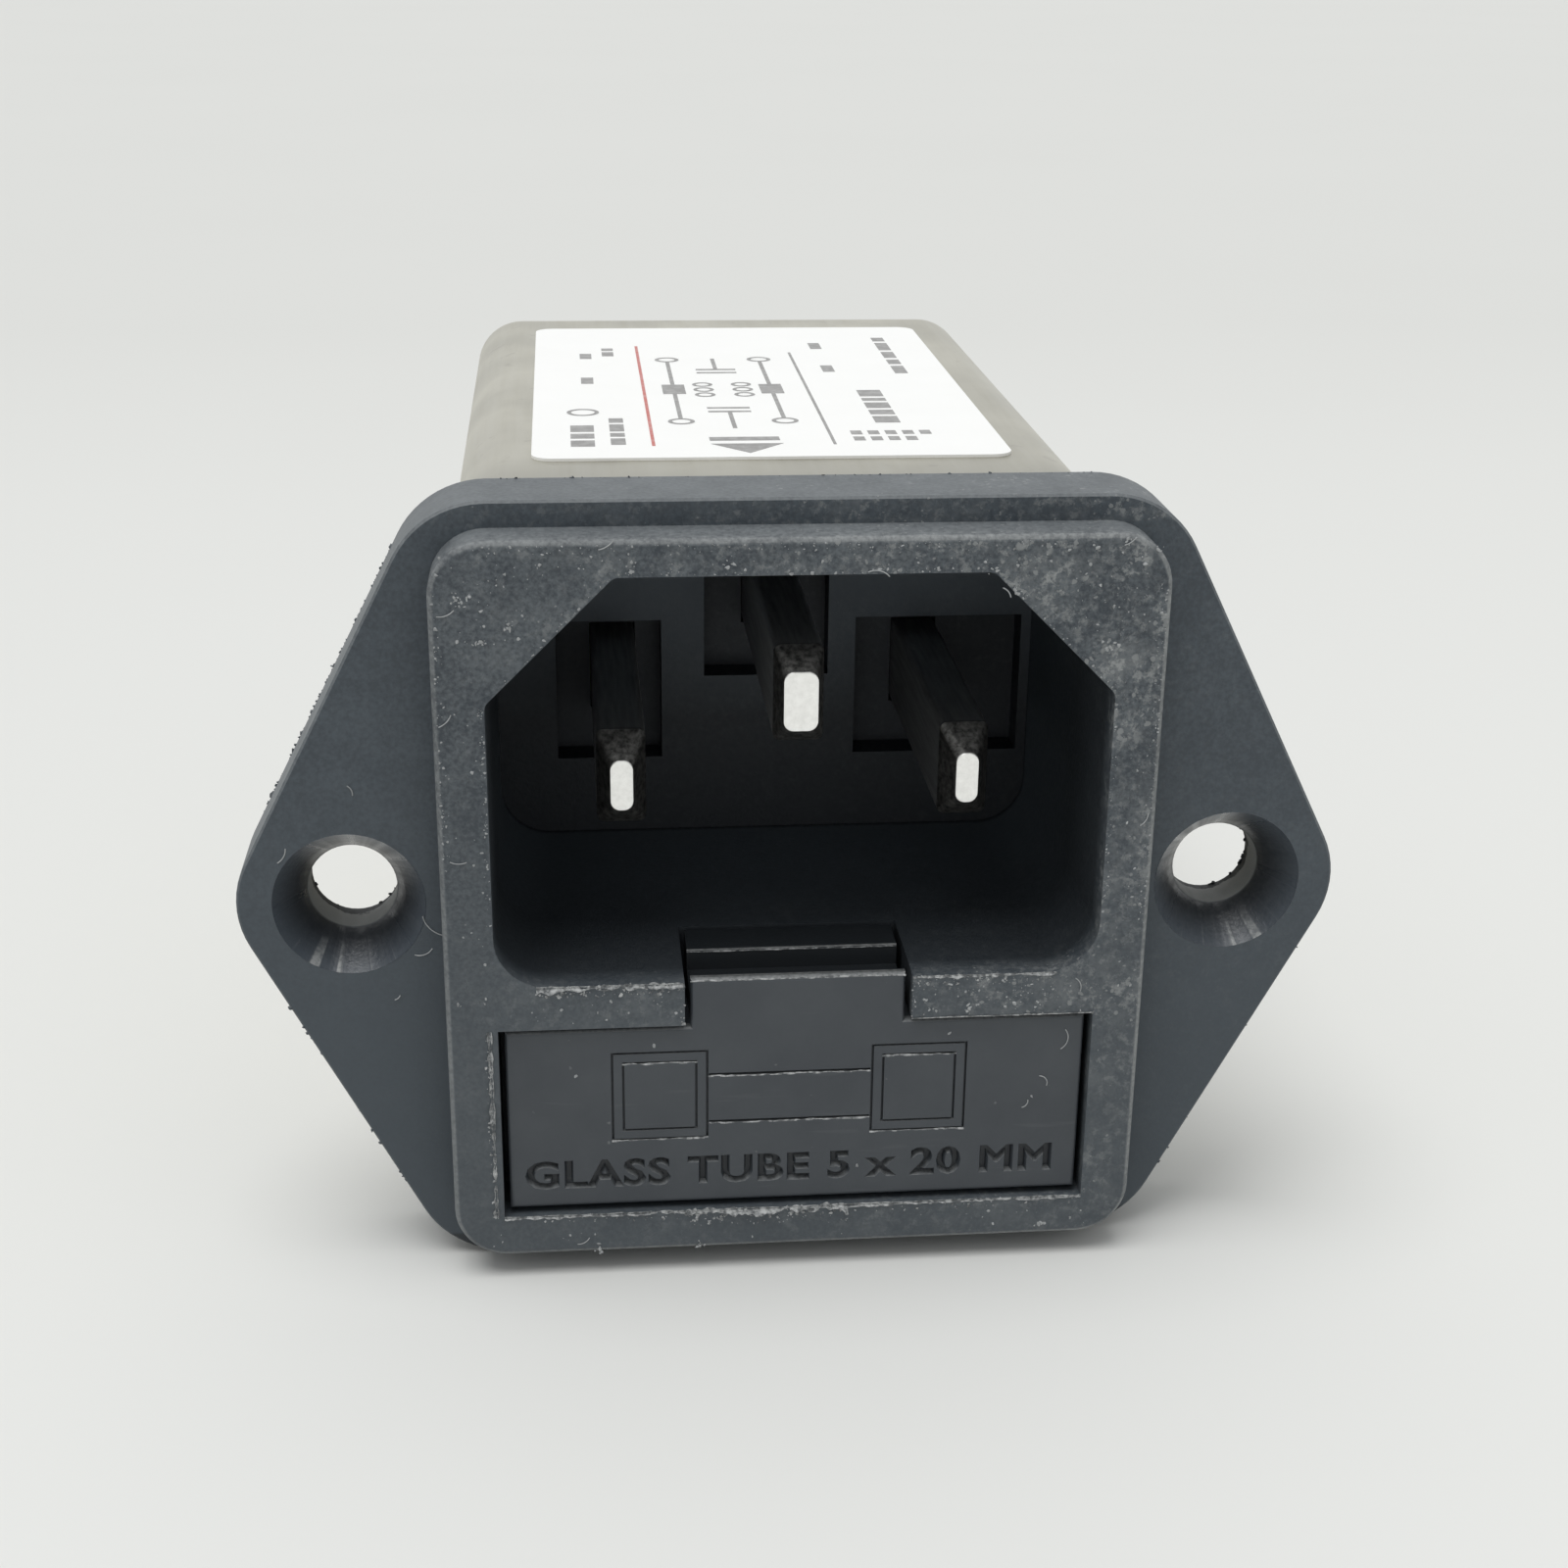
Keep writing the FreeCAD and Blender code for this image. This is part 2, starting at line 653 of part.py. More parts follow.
def x_capacitor():
    """The boxed film capacitor across the supply, with its two leads."""
    case = plate_block(x_cap_width, x_cap_thickness, board_rear_y, board_rear_y + x_cap_height, 0, x_cap_z)
    case = case.makeChamfer(x_cap_edge, case.Edges)
    leads = [lead_y(lead_diameter, board_front_y, board_rear_y + lead_diameter,
                    side * x_cap_lead_spacing / 2, x_cap_z) for side in (-1, 1)]
    return case.multiFuse(leads).removeSplitter()


def y_capacitor(side):
    """A disc capacitor on edge beside the choke, with its two leads."""
    x = side * y_cap_x
    middle_y = board_rear_y + y_cap_lift + y_cap_diameter / 2
    disc = rod_x(y_cap_diameter, x - y_cap_thickness / 2, x + y_cap_thickness / 2, middle_y, choke_z)
    leads = [lead_y(lead_diameter, board_front_y, middle_y, x, choke_z + end * y_cap_lead_spacing / 2)
             for end in (-1, 1)]
    return disc.multiFuse(leads).removeSplitter()


def bleed_resistor():
    """The discharge resistor, stood on end with one lead bent back to the board."""
    (x, low_z), (_, high_z) = lead_places()[-2:]
    body_low = board_rear_y + resistor_lift
    body_high = body_low + resistor_length
    body = rod_y(resistor_diameter, body_low, body_high, x, high_z)
    bend_y = body_high + lead_diameter
    straight = lead_y(lead_diameter, board_front_y, body_low, x, high_z)
    route = [(body_high, high_z), (bend_y, high_z), (bend_y, low_z), (board_front_y, low_z)]
    back = bent_wire([Vector(x, y, z) for y, z in route], lead_diameter, False)
    return body.multiFuse([straight, back]).removeSplitter()


# Screening can and what it carries

def earth_strap():
    """The bent strip from the earth pin's solder joint to the roof of the can."""
    roof_z = can_inner_height / 2
    foot_z = earth_pin_z - pin_tail_height / 2 - strap_foot
    front_y = board_front_y - strap_sheet
    outline = [(front_y, foot_z), (board_front_y, foot_z), (board_front_y, roof_z - strap_sheet),
               (front_y + strap_roof_length, roof_z - strap_sheet), (front_y + strap_roof_length, roof_z),
               (front_y, roof_z)]
    strip = profile_along_x(outline, -strap_width / 2, strap_width / 2)
    slot = plate_block(pin_tail_thickness + 2 * pin_fit, pin_tail_height + 2 * pin_fit,
                       front_y, board_front_y, 0, earth_pin_z)
    return strip.cut(slot)


def insulating_liner():
    """The folded film along the floor and both sides of the can."""
    front_y = board_rear_y + liner_front_gap
    rear_y = base_front_y - liner_rear_gap
    width = can_inner_width - 2 * liner_fit
    height = can_inner_height - 2 * liner_fit
    radius = can_inner_radius - liner_fit
    outer = rounded_block(width, height, front_y, rear_y, radius)
    inner = rounded_block(width - 2 * liner_sheet, height - 2 * liner_sheet, front_y, rear_y,
                          radius - liner_sheet)
    roof = block(-width / 2, width / 2, front_y, rear_y, height / 2 - liner_top_gap, height / 2)
    return outer.cut([inner, roof])


def shield_can():
    """The drawn can, open at the front, with snap windows, a terminal window and a rivet hole."""
    outer = rounded_block(can_width, can_height, can_front_y, can_rear_y, can_edge_radius)
    outer = outer.makeFillet(can_rear_radius, edges_in_plane(outer, can_rear_y))
    inner = rounded_block(can_inner_width, can_inner_height, can_front_y, can_inner_rear_y, can_inner_radius)
    corner = (can_rear_radius - can_sheet) * (2 - math.sqrt(2))
    cutters = [inner.makeChamfer(corner, edges_in_plane(inner, can_inner_rear_y))]
    window_y = can_front_y + barb_setback - window_gap
    for z in (-barb_offset, barb_offset):
        cutters.append(block(-can_width / 2, can_width / 2, window_y, window_y + barb_length + 2 * window_gap,
                             z - barb_height / 2 - window_gap, z + barb_height / 2 + window_gap))
    cutters.append(rounded_block(collar_width() + 2 * window_fit, collar_height() + 2 * window_fit,
                                 can_inner_rear_y, can_rear_y, base_collar_radius, 0, tab_z))
    cutters.append(rod_y(rivet_diameter + 2 * rivet_fit, can_inner_rear_y, can_rear_y, 0, earth_tab_rise))
    return outer.cut(cutters)


def rating_label():
    """The paper label on the roof of the can."""
    roof_z = can_height / 2
    sheet = block(-label_width / 2, label_width / 2, label_front, label_front + label_length,
                  roof_z, roof_z + label_thickness)
    return sheet.makeFillet(label_corner_radius, edges_along(sheet, Vector(0, 0, 1)))


# Terminals at the rear

def collar_width():
    """The width of the terminal base where it passes through the can."""
    return tab_spacing + tab_blade_width + 2 * base_collar_side


def collar_height():
    """The height of the terminal base where it passes through the can."""
    return tab_blade_sheet + 2 * base_collar_height


def terminal_base():
    """The moulded base that insulates the two load tabs from the can."""
    rim = rounded_block(collar_width() + 2 * base_rim, collar_height() + 2 * base_rim,
                        base_front_y, can_inner_rear_y, base_collar_radius, 0, tab_z)
    collar = rounded_block(collar_width(), collar_height(), can_inner_rear_y, can_rear_y + base_collar,
                           base_collar_radius, 0, tab_z)
    slots = [plate_block(tab_blade_width + 2 * tab_fit, tab_blade_sheet + 2 * tab_fit, base_front_y,
                         can_rear_y + base_collar, side * tab_spacing / 2, tab_z) for side in (-1, 1)]
    return rim.fuse(collar).removeSplitter().cut(slots)


def blade(front_y, x, z):
    """A quick-connect blade with a cut tip and a locking hole."""
    half = tab_blade_width / 2
    low_z = z - tab_blade_sheet / 2
    tip_y = blade_rear_y
    corners = [(x - half, front_y), (x + half, front_y), (x + half, tip_y - tab_tip_cut),
               (x + half - tab_tip_cut, tip_y), (x - half + tab_tip_cut, tip_y),
               (x - half, tip_y - tab_tip_cut)]
    points = [Vector(px, py, low_z) for px, py in corners]
    solid = Part.Face(Part.makePolygon(points + points[:1])).extrude(Vector(0, 0, tab_blade_sheet))
    hole_place = Vector(x, tip_y - tab_hole_setback, low_z)
    hole = Part.makeCylinder(tab_hole_diameter / 2, tab_blade_sheet, hole_place)
    return solid.cut(hole)


def load_tab(side):
    """A stamped load tab: blade, shoulder behind the base and a long tail to the board."""
    x = side * tab_spacing / 2
    shoulder = plate_block(tab_blade_width + 2 * tab_shoulder, tab_blade_sheet,
                           base_front_y - tab_shoulder_length, base_front_y, x, tab_z)
    tail = plate_block(tab_tail_width, tab_blade_sheet, board_front_y,
                       base_front_y - tab_shoulder_length, x, tab_z)
    return blade(base_front_y, x, tab_z).multiFuse([shoulder, tail]).removeSplitter()


def earth_tab():
    """The earth tab: a foot riveted to the can and a blade bent out from its upper edge."""
    low_z = earth_tab_rise - earth_foot_height / 2
    high_z = earth_tab_rise + earth_foot_height / 2
    foot = block(-earth_foot_width / 2, earth_foot_width / 2, can_rear_y, can_rear_y + tab_blade_sheet,
                 low_z, high_z)
    foot = foot.cut(rod_y(rivet_diameter + 2 * rivet_fit, can_rear_y, can_rear_y + tab_blade_sheet,
                          0, earth_tab_rise))
    return foot.fuse(blade(can_rear_y, 0, high_z - tab_blade_sheet / 2)).removeSplitter()


def earth_rivet():
    """The rivet through the earth tab and the can, with a coned head outside and a flat one inside."""
    outer_y = can_rear_y + tab_blade_sheet
    shank = rod_y(rivet_diameter, can_inner_rear_y, outer_y, 0, earth_tab_rise)
    inner_head = rod_y(rivet_head_diameter, can_inner_rear_y - rivet_head_height, can_inner_rear_y,
                       0, earth_tab_rise)
    outer_head = Part.makeCone(rivet_head_diameter / 2, rivet_top_diameter / 2, rivet_head_height,
                               Vector(0, outer_y, earth_tab_rise), AXIS_Y)
    return shank.multiFuse([outer_head, inner_head]).removeSplitter()


def pieces():
    """Every piece by its node name."""
    (left, live_z, live_recess), (right, _, _), (middle, earth_z, earth_recess) = pin_places()
    return {
        "inlet_housing": inlet_housing(),
        "line_pin": contact_pin(left, live_z, live_recess, live_tip_thickness, live_tip_height),
        "neutral_pin": contact_pin(right, live_z, live_recess, live_tip_thickness, live_tip_height),
        "earth_pin": contact_pin(middle, earth_z, earth_recess, earth_tip_thickness, earth_tip_height),
        "fuse_drawer": fuse_drawer(),
        "fuse_glass": fuse_glass(),
        "fuse_cap_left": fuse_cap(-1),
        "fuse_cap_right": fuse_cap(1),
        "fuse_wire": fuse_wire(),
        "line_fuse_clip": fuse_clip(-1),
        "load_fuse_clip": fuse_clip(1),
        "filter_board": filter_board(),
        "choke_foot": choke_foot(),
        "choke_core": choke_core(),
        "choke_winding_line": choke_winding(-1),
        "choke_winding_neutral": choke_winding(1),
        "x_capacitor": x_capacitor(),
        "y_capacitor_line": y_capacitor(-1),
        "y_capacitor_neutral": y_capacitor(1),
        "bleed_resistor": bleed_resistor(),
        "earth_strap": earth_strap(),
        "insulating_liner": insulating_liner(),
        "shield_can": shield_can(),
        "rating_label": rating_label(),
        "terminal_base": terminal_base(),
        "line_load_tab": load_tab(-1),
        "neutral_load_tab": load_tab(1),
        "earth_tab": earth_tab(),
        "earth_rivet": earth_rivet(),
    }


os.makedirs("parts", exist_ok=True)
for name, shape in pieces().items():
    shape.exportStep(os.path.join("parts", name + ".step"))
    print(name, "solids", len(shape.Solids), "valid", shape.isValid(), "volume", round(shape.Volume, 3))
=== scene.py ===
import json
import math
import random

import bmesh
import bpy
from mathutils import Matrix, Vector, noise


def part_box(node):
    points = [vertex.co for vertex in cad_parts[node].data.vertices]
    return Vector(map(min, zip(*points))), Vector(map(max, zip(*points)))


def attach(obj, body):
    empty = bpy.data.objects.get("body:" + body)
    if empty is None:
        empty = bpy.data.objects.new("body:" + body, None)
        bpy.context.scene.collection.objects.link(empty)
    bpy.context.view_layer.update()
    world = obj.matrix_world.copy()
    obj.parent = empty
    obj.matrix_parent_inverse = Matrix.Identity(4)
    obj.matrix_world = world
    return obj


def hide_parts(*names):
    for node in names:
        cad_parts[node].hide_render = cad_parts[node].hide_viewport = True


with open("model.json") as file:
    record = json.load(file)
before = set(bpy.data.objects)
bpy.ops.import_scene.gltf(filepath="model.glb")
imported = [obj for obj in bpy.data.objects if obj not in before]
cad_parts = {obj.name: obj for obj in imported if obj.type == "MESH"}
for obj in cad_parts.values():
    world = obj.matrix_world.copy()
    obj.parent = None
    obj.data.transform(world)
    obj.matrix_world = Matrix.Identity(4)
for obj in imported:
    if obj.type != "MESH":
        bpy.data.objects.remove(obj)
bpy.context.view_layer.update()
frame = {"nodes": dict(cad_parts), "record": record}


# Inlet housing
# One moulding of black glass-filled nylon: flange, raised bezel, plug well and fuse bay. The tool is
# spark-eroded, so the face is matt and holds pale dust, and the countersinks are turned smooth.

MM = 0.001
JOIN = 0.0005 * MM


def joined_copy(node_name):
    """A node's shape with its loose triangles joined."""
    solid = bmesh.new()
    solid.from_mesh(frame["nodes"][node_name].data)
    bmesh.ops.remove_doubles(solid, verts=solid.verts, dist=JOIN)
    return solid


def finished_piece(solid, name, body, finish, crease=40):
    """Makes a piece of a shape, with smooth rounds and crisp edges, and sets it on its body."""
    mesh = bpy.data.meshes.new(name)
    solid.to_mesh(mesh)
    solid.free()
    loose_normals = mesh.attributes.get("custom_normal")
    if loose_normals:
        mesh.attributes.remove(loose_normals)
    mesh.shade_smooth()
    mesh.set_sharp_from_angle(angle=math.radians(crease))
    mesh.materials.append(finish)
    piece = bpy.data.objects.new(name, mesh)
    bpy.context.collection.objects.link(piece)
    shading = piece.modifiers.new("even_shading", "WEIGHTED_NORMAL")
    shading.keep_sharp = True
    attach(piece, body)
    return piece


def new_finish(name):
    """A material with its node tree, its shader and the piece's own coordinates."""
    finish = bpy.data.materials.new(name)
    finish.use_nodes = True
    tree = finish.node_tree
    place = tree.nodes.new("ShaderNodeTexCoord").outputs["Object"]
    return finish, tree, tree.nodes["Principled BSDF"], place


def add_node(tree, kind, feeds, **settings):
    """A shader node with its settings made and its inputs filled or linked."""
    node = tree.nodes.new(kind)
    for setting, value in settings.items():
        setattr(node, setting, value)
    for socket, value in feeds.items():
        if isinstance(value, bpy.types.NodeSocket):
            tree.links.new(value, node.inputs[socket])
        else:
            node.inputs[socket].default_value = value
    return node


def mottle(tree, place, scale, detail=3.0, rough=0.6):
    """Cloudy noise from 0 to 1, with so many clouds to the metre."""
    feeds = {"Vector": place, "Scale": scale, "Detail": detail, "Roughness": rough}
    return add_node(tree, "ShaderNodeTexNoise", feeds).outputs["Fac"]


def reach(tree, value, low, high, to_low=0.0, to_high=1.0):
    """A value between two limits, spread between two others."""
    feeds = {"Value": value, "From Min": low, "From Max": high, "To Min": to_low, "To Max": to_high}
    return add_node(tree, "ShaderNodeMapRange", feeds).outputs["Result"]


def sum_up(tree, operation, first, *others):
    """One kind of arithmetic on a value, or on several values from left to right."""
    result = first
    for other in others or (0.0,):
        result = add_node(tree, "ShaderNodeMath", {0: result, 1: other}, operation=operation).outputs[0]
    return result


def between(tree, share, low, high):
    """A value that lies between two others by a share."""
    return add_node(tree, "ShaderNodeMix", {0: share, 2: low, 3: high}).outputs[0]


def tint(tree, share, under, over):
    """One colour laid over another by a share."""
    return add_node(tree, "ShaderNodeMix", {0: share, 6: under, 7: over}, data_type="RGBA").outputs[2]


def relief(tree, shader, height, depth, strength=1.0):
    """Fine relief of so many metres on a finish."""
    feeds = {"Height": height, "Distance": depth, "Strength": strength}
    tree.links.new(add_node(tree, "ShaderNodeBump", feeds).outputs["Normal"], shader.inputs["Normal"])


def rumple(tree, place, scale=6000, amount=0.16 * MM):
    """The same place pushed about by fine noise, so that round shapes come out ragged."""
    feeds = {"Vector": place, "Scale": scale, "Detail": 2.0}
    push = add_node(tree, "ShaderNodeTexNoise", feeds).outputs["Color"]
    feeds = {0: push, 1: (amount, amount, amount), 2: place}
    return add_node(tree, "ShaderNodeVectorMath", feeds, operation="MULTIPLY_ADD").outputs[0]


def dust_specks(tree, place, cells, size, density):
    """Pale specks, at most one in each cell; size is the largest speck's share of its cell."""
    cell = add_node(tree, "ShaderNodeTexVoronoi", {"Vector": place, "Scale": cells})
    chance = add_node(tree, "ShaderNodeSeparateColor", {"Color": cell.outputs["Color"]}).outputs["Red"]
    radius = sum_up(tree, "MULTIPLY", sum_up(tree, "POWER", chance, 6.0), density, size)
    rim = sum_up(tree, "SUBTRACT", radius, cell.outputs["Distance"])
    return reach(tree, rim, 0.0, 0.12)


FACE_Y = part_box("inlet_housing")[0].y
ROOF_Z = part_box("inlet_housing")[1].z
HOLE_X = 0.5 * frame["record"]["mounts"][0]["dims"]["spacing_x_mm"] * MM
HOLE_RADIUS = 1.8 * MM
SINK_RADIUS = 3.05 * MM
BEZEL_HALF_X = 14.25 * MM
BEZEL_HALF_Z = 15.46 * MM
BEZEL_EDGE = 0.3 * MM
BEZEL_BAND_X = 13.0 * MM, 13.8 * MM
BEZEL_BAND_Z = 14.5 * MM, 15.1 * MM
WELL_FLOOR_Y = FACE_Y + 16.5 * MM
DRIFT = 0.3, 1.7
# Near black for painted shade: under the bezel's overhang and in the drawer's sunk row.
PAINTED_SHADE_BLACK = (0.024, 0.028, 0.033, 1)
PALE_DUST_AND_HIGHLIGHT = (0.34, 0.35, 0.345, 1)


def housing_nylon():
    """Matt black nylon: tool grain and dust; pale edges that are wear and painted highlight; settled dust
    with painted sheen on upward faces; painted shade and light in the plug well and on the foot strip; smooth
    countersinks, painted darker towards the bore, with painted glints; and torn bores.
    """
    finish, tree, shader, place = new_finish("housing_nylon")
    axes = add_node(tree, "ShaderNodeSeparateXYZ", {"Vector": place}).outputs
    facing = add_node(tree, "ShaderNodeNewGeometry", {}).outputs["Normal"]
    slope = add_node(tree, "ShaderNodeSeparateXYZ", {"Vector": facing}).outputs
    side = sum_up(tree, "ABSOLUTE", axes["X"])
    rise = sum_up(tree, "ABSOLUTE", axes["Z"])

    grain = mottle(tree, place, 5200, 4.0)
    cloud = mottle(tree, place, 420, 5.0, 0.7)
    tone = sum_up(tree, "ADD", sum_up(tree, "MULTIPLY", grain, 0.62), sum_up(tree, "MULTIPLY", cloud, 0.38))
    on_face = reach(tree, axes["Y"], FACE_Y + 0.3 * MM, FACE_Y + 1.4 * MM, 1.0, 0.1)
    outer = sum_up(tree, "MAXIMUM", reach(tree, side, *BEZEL_BAND_X), reach(tree, rise, *BEZEL_BAND_Z))
    # Painted shade and light in the plug well: its walls and floor are painted near black at the mouth and
    # lighter towards the back, the back wall lighter towards its top, and the pockets behind the pins darker
    # again.
    in_well = sum_up(tree, "MULTIPLY", reach(tree, axes["Y"], FACE_Y + 0.1 * MM, FACE_Y + 1.5 * MM),
                     reach(tree, outer, 0.0, 1.0, 1.0, 0.0))
    flange_light = tint(tree, on_face, (0.065, 0.081, 0.096, 1), (0.099, 0.114, 0.126, 1))
    flange_dark = tint(tree, on_face, (0.042, 0.053, 0.064, 1), (0.031, 0.040, 0.050, 1))
    uneven = reach(tree, axes["Z"], -6.0 * MM, 8.0 * MM, 0.3, 1.0)
    blotch = between(tree, uneven, 0.52, reach(tree, tone, 0.41, 0.61))
    matt_black = tint(tree, blotch, flange_dark, flange_light)
    deep = reach(tree, axes["Y"], FACE_Y + 6.5 * MM, WELL_FLOOR_Y - 0.5 * MM)
    painted_well_shading = tint(tree, deep, (0.019, 0.024, 0.029, 1), (0.082, 0.100, 0.118, 1))
    at_back = reach(tree, axes["Y"], WELL_FLOOR_Y - 0.4 * MM, WELL_FLOOR_Y - 0.1 * MM)
    painted_back_wall_shading = tint(tree, reach(tree, axes["Z"], 2.5 * MM, 11.5 * MM), (0.016, 0.020, 0.025, 1),
                      (0.125, 0.150, 0.175, 1))
    painted_well_shading = tint(tree, at_back, painted_well_shading, painted_back_wall_shading)
    in_pocket = reach(tree, axes["Y"], WELL_FLOOR_Y + 0.02 * MM, WELL_FLOOR_Y + 0.08 * MM)
    painted_well_shading = tint(tree, in_pocket, painted_well_shading, (0.019, 0.023, 0.029, 1))
    base = tint(tree, in_well, matt_black, painted_well_shading)
    # Painted shade: the flange's strip below the bezel is painted near black, as the shade under the bezel's
    # overhang.
    on_foot = reach(tree, axes["Z"], -BEZEL_HALF_Z - 0.1 * MM, -BEZEL_HALF_Z, 1.0, 0.0)
    base = tint(tree, on_foot, base, PAINTED_SHADE_BLACK)

    off_hole = sum_up(tree, "SUBTRACT", side, HOLE_X)
    radius = sum_up(tree, "SQRT", sum_up(tree, "ADD", sum_up(tree, "POWER", off_hole, 2.0),
                                         sum_up(tree, "POWER", axes["Z"], 2.0)))
    turned = sum_up(tree, "MULTIPLY", reach(tree, radius, SINK_RADIUS, SINK_RADIUS + 0.02 * MM, 1.0, 0.0),
                    reach(tree, radius, HOLE_RADIUS + 0.02 * MM, HOLE_RADIUS + 0.06 * MM))
    bearing = sum_up(tree, "ARCTAN2", axes["Z"], off_hole)
    spokes = add_node(tree, "ShaderNodeTexNoise", {"W": bearing, "Scale": 3.4, "Detail": 3.0},
                      noise_dimensions="1D").outputs["Fac"]
    # Painted shade: each turned cone is painted darker towards the bore.
    outward = reach(tree, radius, HOLE_RADIUS + 0.4 * MM, SINK_RADIUS - 0.1 * MM)
    painted_sink_shade = tint(tree, outward, (0.013, 0.016, 0.021, 1), (0.050, 0.061, 0.075, 1))
    base = tint(tree, turned, base, painted_sink_shade)
    bored = reach(tree, radius, HOLE_RADIUS + 0.01 * MM, HOLE_RADIUS + 0.03 * MM, 1.0, 0.0)
    torn = reach(tree, sum_up(tree, "ADD", axes["Y"], reach(tree, cloud, 0.35, 0.65, -0.3 * MM, 0.3 * MM)),
                 -0.5 * MM, -0.4 * MM)
    bore_grey = tint(tree, torn, (0.20, 0.206, 0.20, 1), (0.010, 0.012, 0.014, 1))
    base = tint(tree, bored, base, bore_grey)
    # Painted highlight: pale radial streaks on the lower, upward-facing part of each countersink stand in for
    # glints off the turned cone.
    low_side = reach(tree, slope["Z"], 0.45, 0.8)
    broken = reach(tree, mottle(tree, place, 2600, 5.0, 0.7), 0.42, 0.56, 0.4, 1.0)
    painted_glint = sum_up(tree, "MULTIPLY", reach(tree, spokes, 0.54, 0.62), turned, low_side, outward, broken)

    height = reach(tree, axes["Z"], -ROOF_Z, ROOF_Z)
    zones = add_node(tree, "ShaderNodeValToRGB", {"Fac": height})
    stops = zones.color_ramp.elements
    stops[0].position, stops[0].color = 0.05, (0.3, 0.3, 0.3, 1)
    stops[1].position, stops[1].color = 0.95, (1, 1, 1, 1)
    for position, share in ((0.34, 0.4), (0.37, 0.65), (0.41, 0.65), (0.45, 0.5), (0.9, 0.85)):
        stop = stops.new(position)
        stop.color = (share, share, share, 1)
    drift = reach(tree, axes["X"], -BEZEL_HALF_X, BEZEL_HALF_X, *DRIFT)
    patchy = sum_up(tree, "MULTIPLY", reach(tree, cloud, 0.34, 0.66, 0.3, 1.3), drift)
    on_strip = reach(tree, axes["Z"], BEZEL_HALF_Z - 0.1 * MM, BEZEL_HALF_Z, 0.0, 0.7)
    dusty = sum_up(tree, "MAXIMUM", on_face, on_strip)
    density = sum_up(tree, "MULTIPLY", zones.outputs["Color"], patchy, dusty)
    ragged = rumple(tree, place)
    fine = dust_specks(tree, ragged, 4600, 0.62, density)
    coarse = dust_specks(tree, ragged, 1700, 0.36, density)
    specks = sum_up(tree, "MAXIMUM", fine, coarse)
    film = sum_up(tree, "MULTIPLY", reach(tree, mottle(tree, ragged, 2300, 6.0, 0.75), 0.5, 0.62), density)
    haze = sum_up(tree, "MULTIPLY", reach(tree, mottle(tree, ragged, 800, 6.0, 0.75), 0.46, 0.66), density)

    off_cuts = reach(tree, sum_up(tree, "MAXIMUM", turned, bored), 0.0, 1.0, 1.0, 0.0)
    # Settled dust and painted sheen: upward faces of the bezel's rim and of the flange are painted pale, for
    # dust and for the sheen of their grazing faces.
    upward = sum_up(tree, "MULTIPLY", reach(tree, slope["Z"], 0.05, 0.4), off_cuts)
    settled_dust_and_sheen = sum_up(tree, "MULTIPLY", upward, outer, reach(tree, tone, 0.3, 0.7, 0.12, 0.36))
    # Rubbed wear and painted highlight: the bezel's rounded outer edge is painted pale, more so on the right.
    frontward = sum_up(tree, "ABSOLUTE", slope["Y"])
    rounded = sum_up(tree, "MULTIPLY", reach(tree, frontward, 0.12, 0.4),
                     reach(tree, frontward, 0.9, 0.99, 1.0, 0.0))
    on_edge = sum_up(tree, "MULTIPLY", rounded, on_face, outer)
    rubbed_wear_and_highlight = sum_up(tree, "MULTIPLY", on_edge, reach(tree, tone, 0.36, 0.62, 0.18, 0.52),
                    reach(tree, drift, *DRIFT, 0.8, 1.35))
    # Dust, together with the painted sheen, edge highlight and glints above, laid on in one pale colour.
    dust = sum_up(tree, "MAXIMUM", sum_up(tree, "MULTIPLY", specks, 0.5),
                  sum_up(tree, "MULTIPLY", film, 0.44), sum_up(tree, "MULTIPLY", haze, 0.2))
    pale_share = sum_up(tree, "MAXIMUM", dust, settled_dust_and_sheen, rubbed_wear_and_highlight, painted_glint)
    tree.links.new(tint(tree, pale_share, base, PALE_DUST_AND_HIGHLIGHT), shader.inputs["Base Color"])

    glossy = reach(tree, spokes, 0.35, 0.65, 0.26, 0.4)
    matt = reach(tree, grain, 0.2, 0.8, 0.5, 0.72)
    tree.links.new(between(tree, turned, matt, glossy), shader.inputs["Roughness"])
    ridges = sum_up(tree, "MULTIPLY", spokes, turned, 3.0)
    relief(tree, shader, sum_up(tree, "ADD", grain, specks, ridges), 0.03 * MM, 0.5)
    return finish


housing_finish = housing_nylon()
housing = finished_piece(joined_copy("inlet_housing"), "housing", "module", housing_finish)
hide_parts("inlet_housing")


# Moulding flash
# Thin torn slivers and crumbs of the same nylon that the tool left along its shut-off edges: round the
# mouth of the fuse bay, along the lower lip of the plug well and on the rim of the flange.

BAY_GAP = 0.25 * MM
BAY_TOP_Z = -4.9 * MM
drawer_low, drawer_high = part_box("fuse_drawer")
bay_left, bay_right = drawer_low.x - BAY_GAP, drawer_high.x + BAY_GAP
bay_bottom = drawer_low.z - BAY_GAP
lip_z = drawer_high.z
TONGUE_HALF = 4.4 * MM
SLIVER_PITCH = 0.06 * MM
SLIVER_THICKNESS = 0.03 * MM
CRUMB_CREASE = 60
dice = random.Random(7)


def scuffed_nylon():
    """Torn nylon that has gone whitish where it was stretched and rubbed."""
    finish, tree, shader, place = new_finish("scuffed_nylon")
    blotch = mottle(tree, place, 4200, 4.0)
    white = tint(tree, reach(tree, blotch, 0.4, 0.62), (0.11, 0.117, 0.122, 1), (0.48, 0.49, 0.49, 1))
    tree.links.new(white, shader.inputs["Base Color"])
    shader.inputs["Roughness"].default_value = 0.8
    relief(tree, shader, blotch, 0.03 * MM)
    return finish


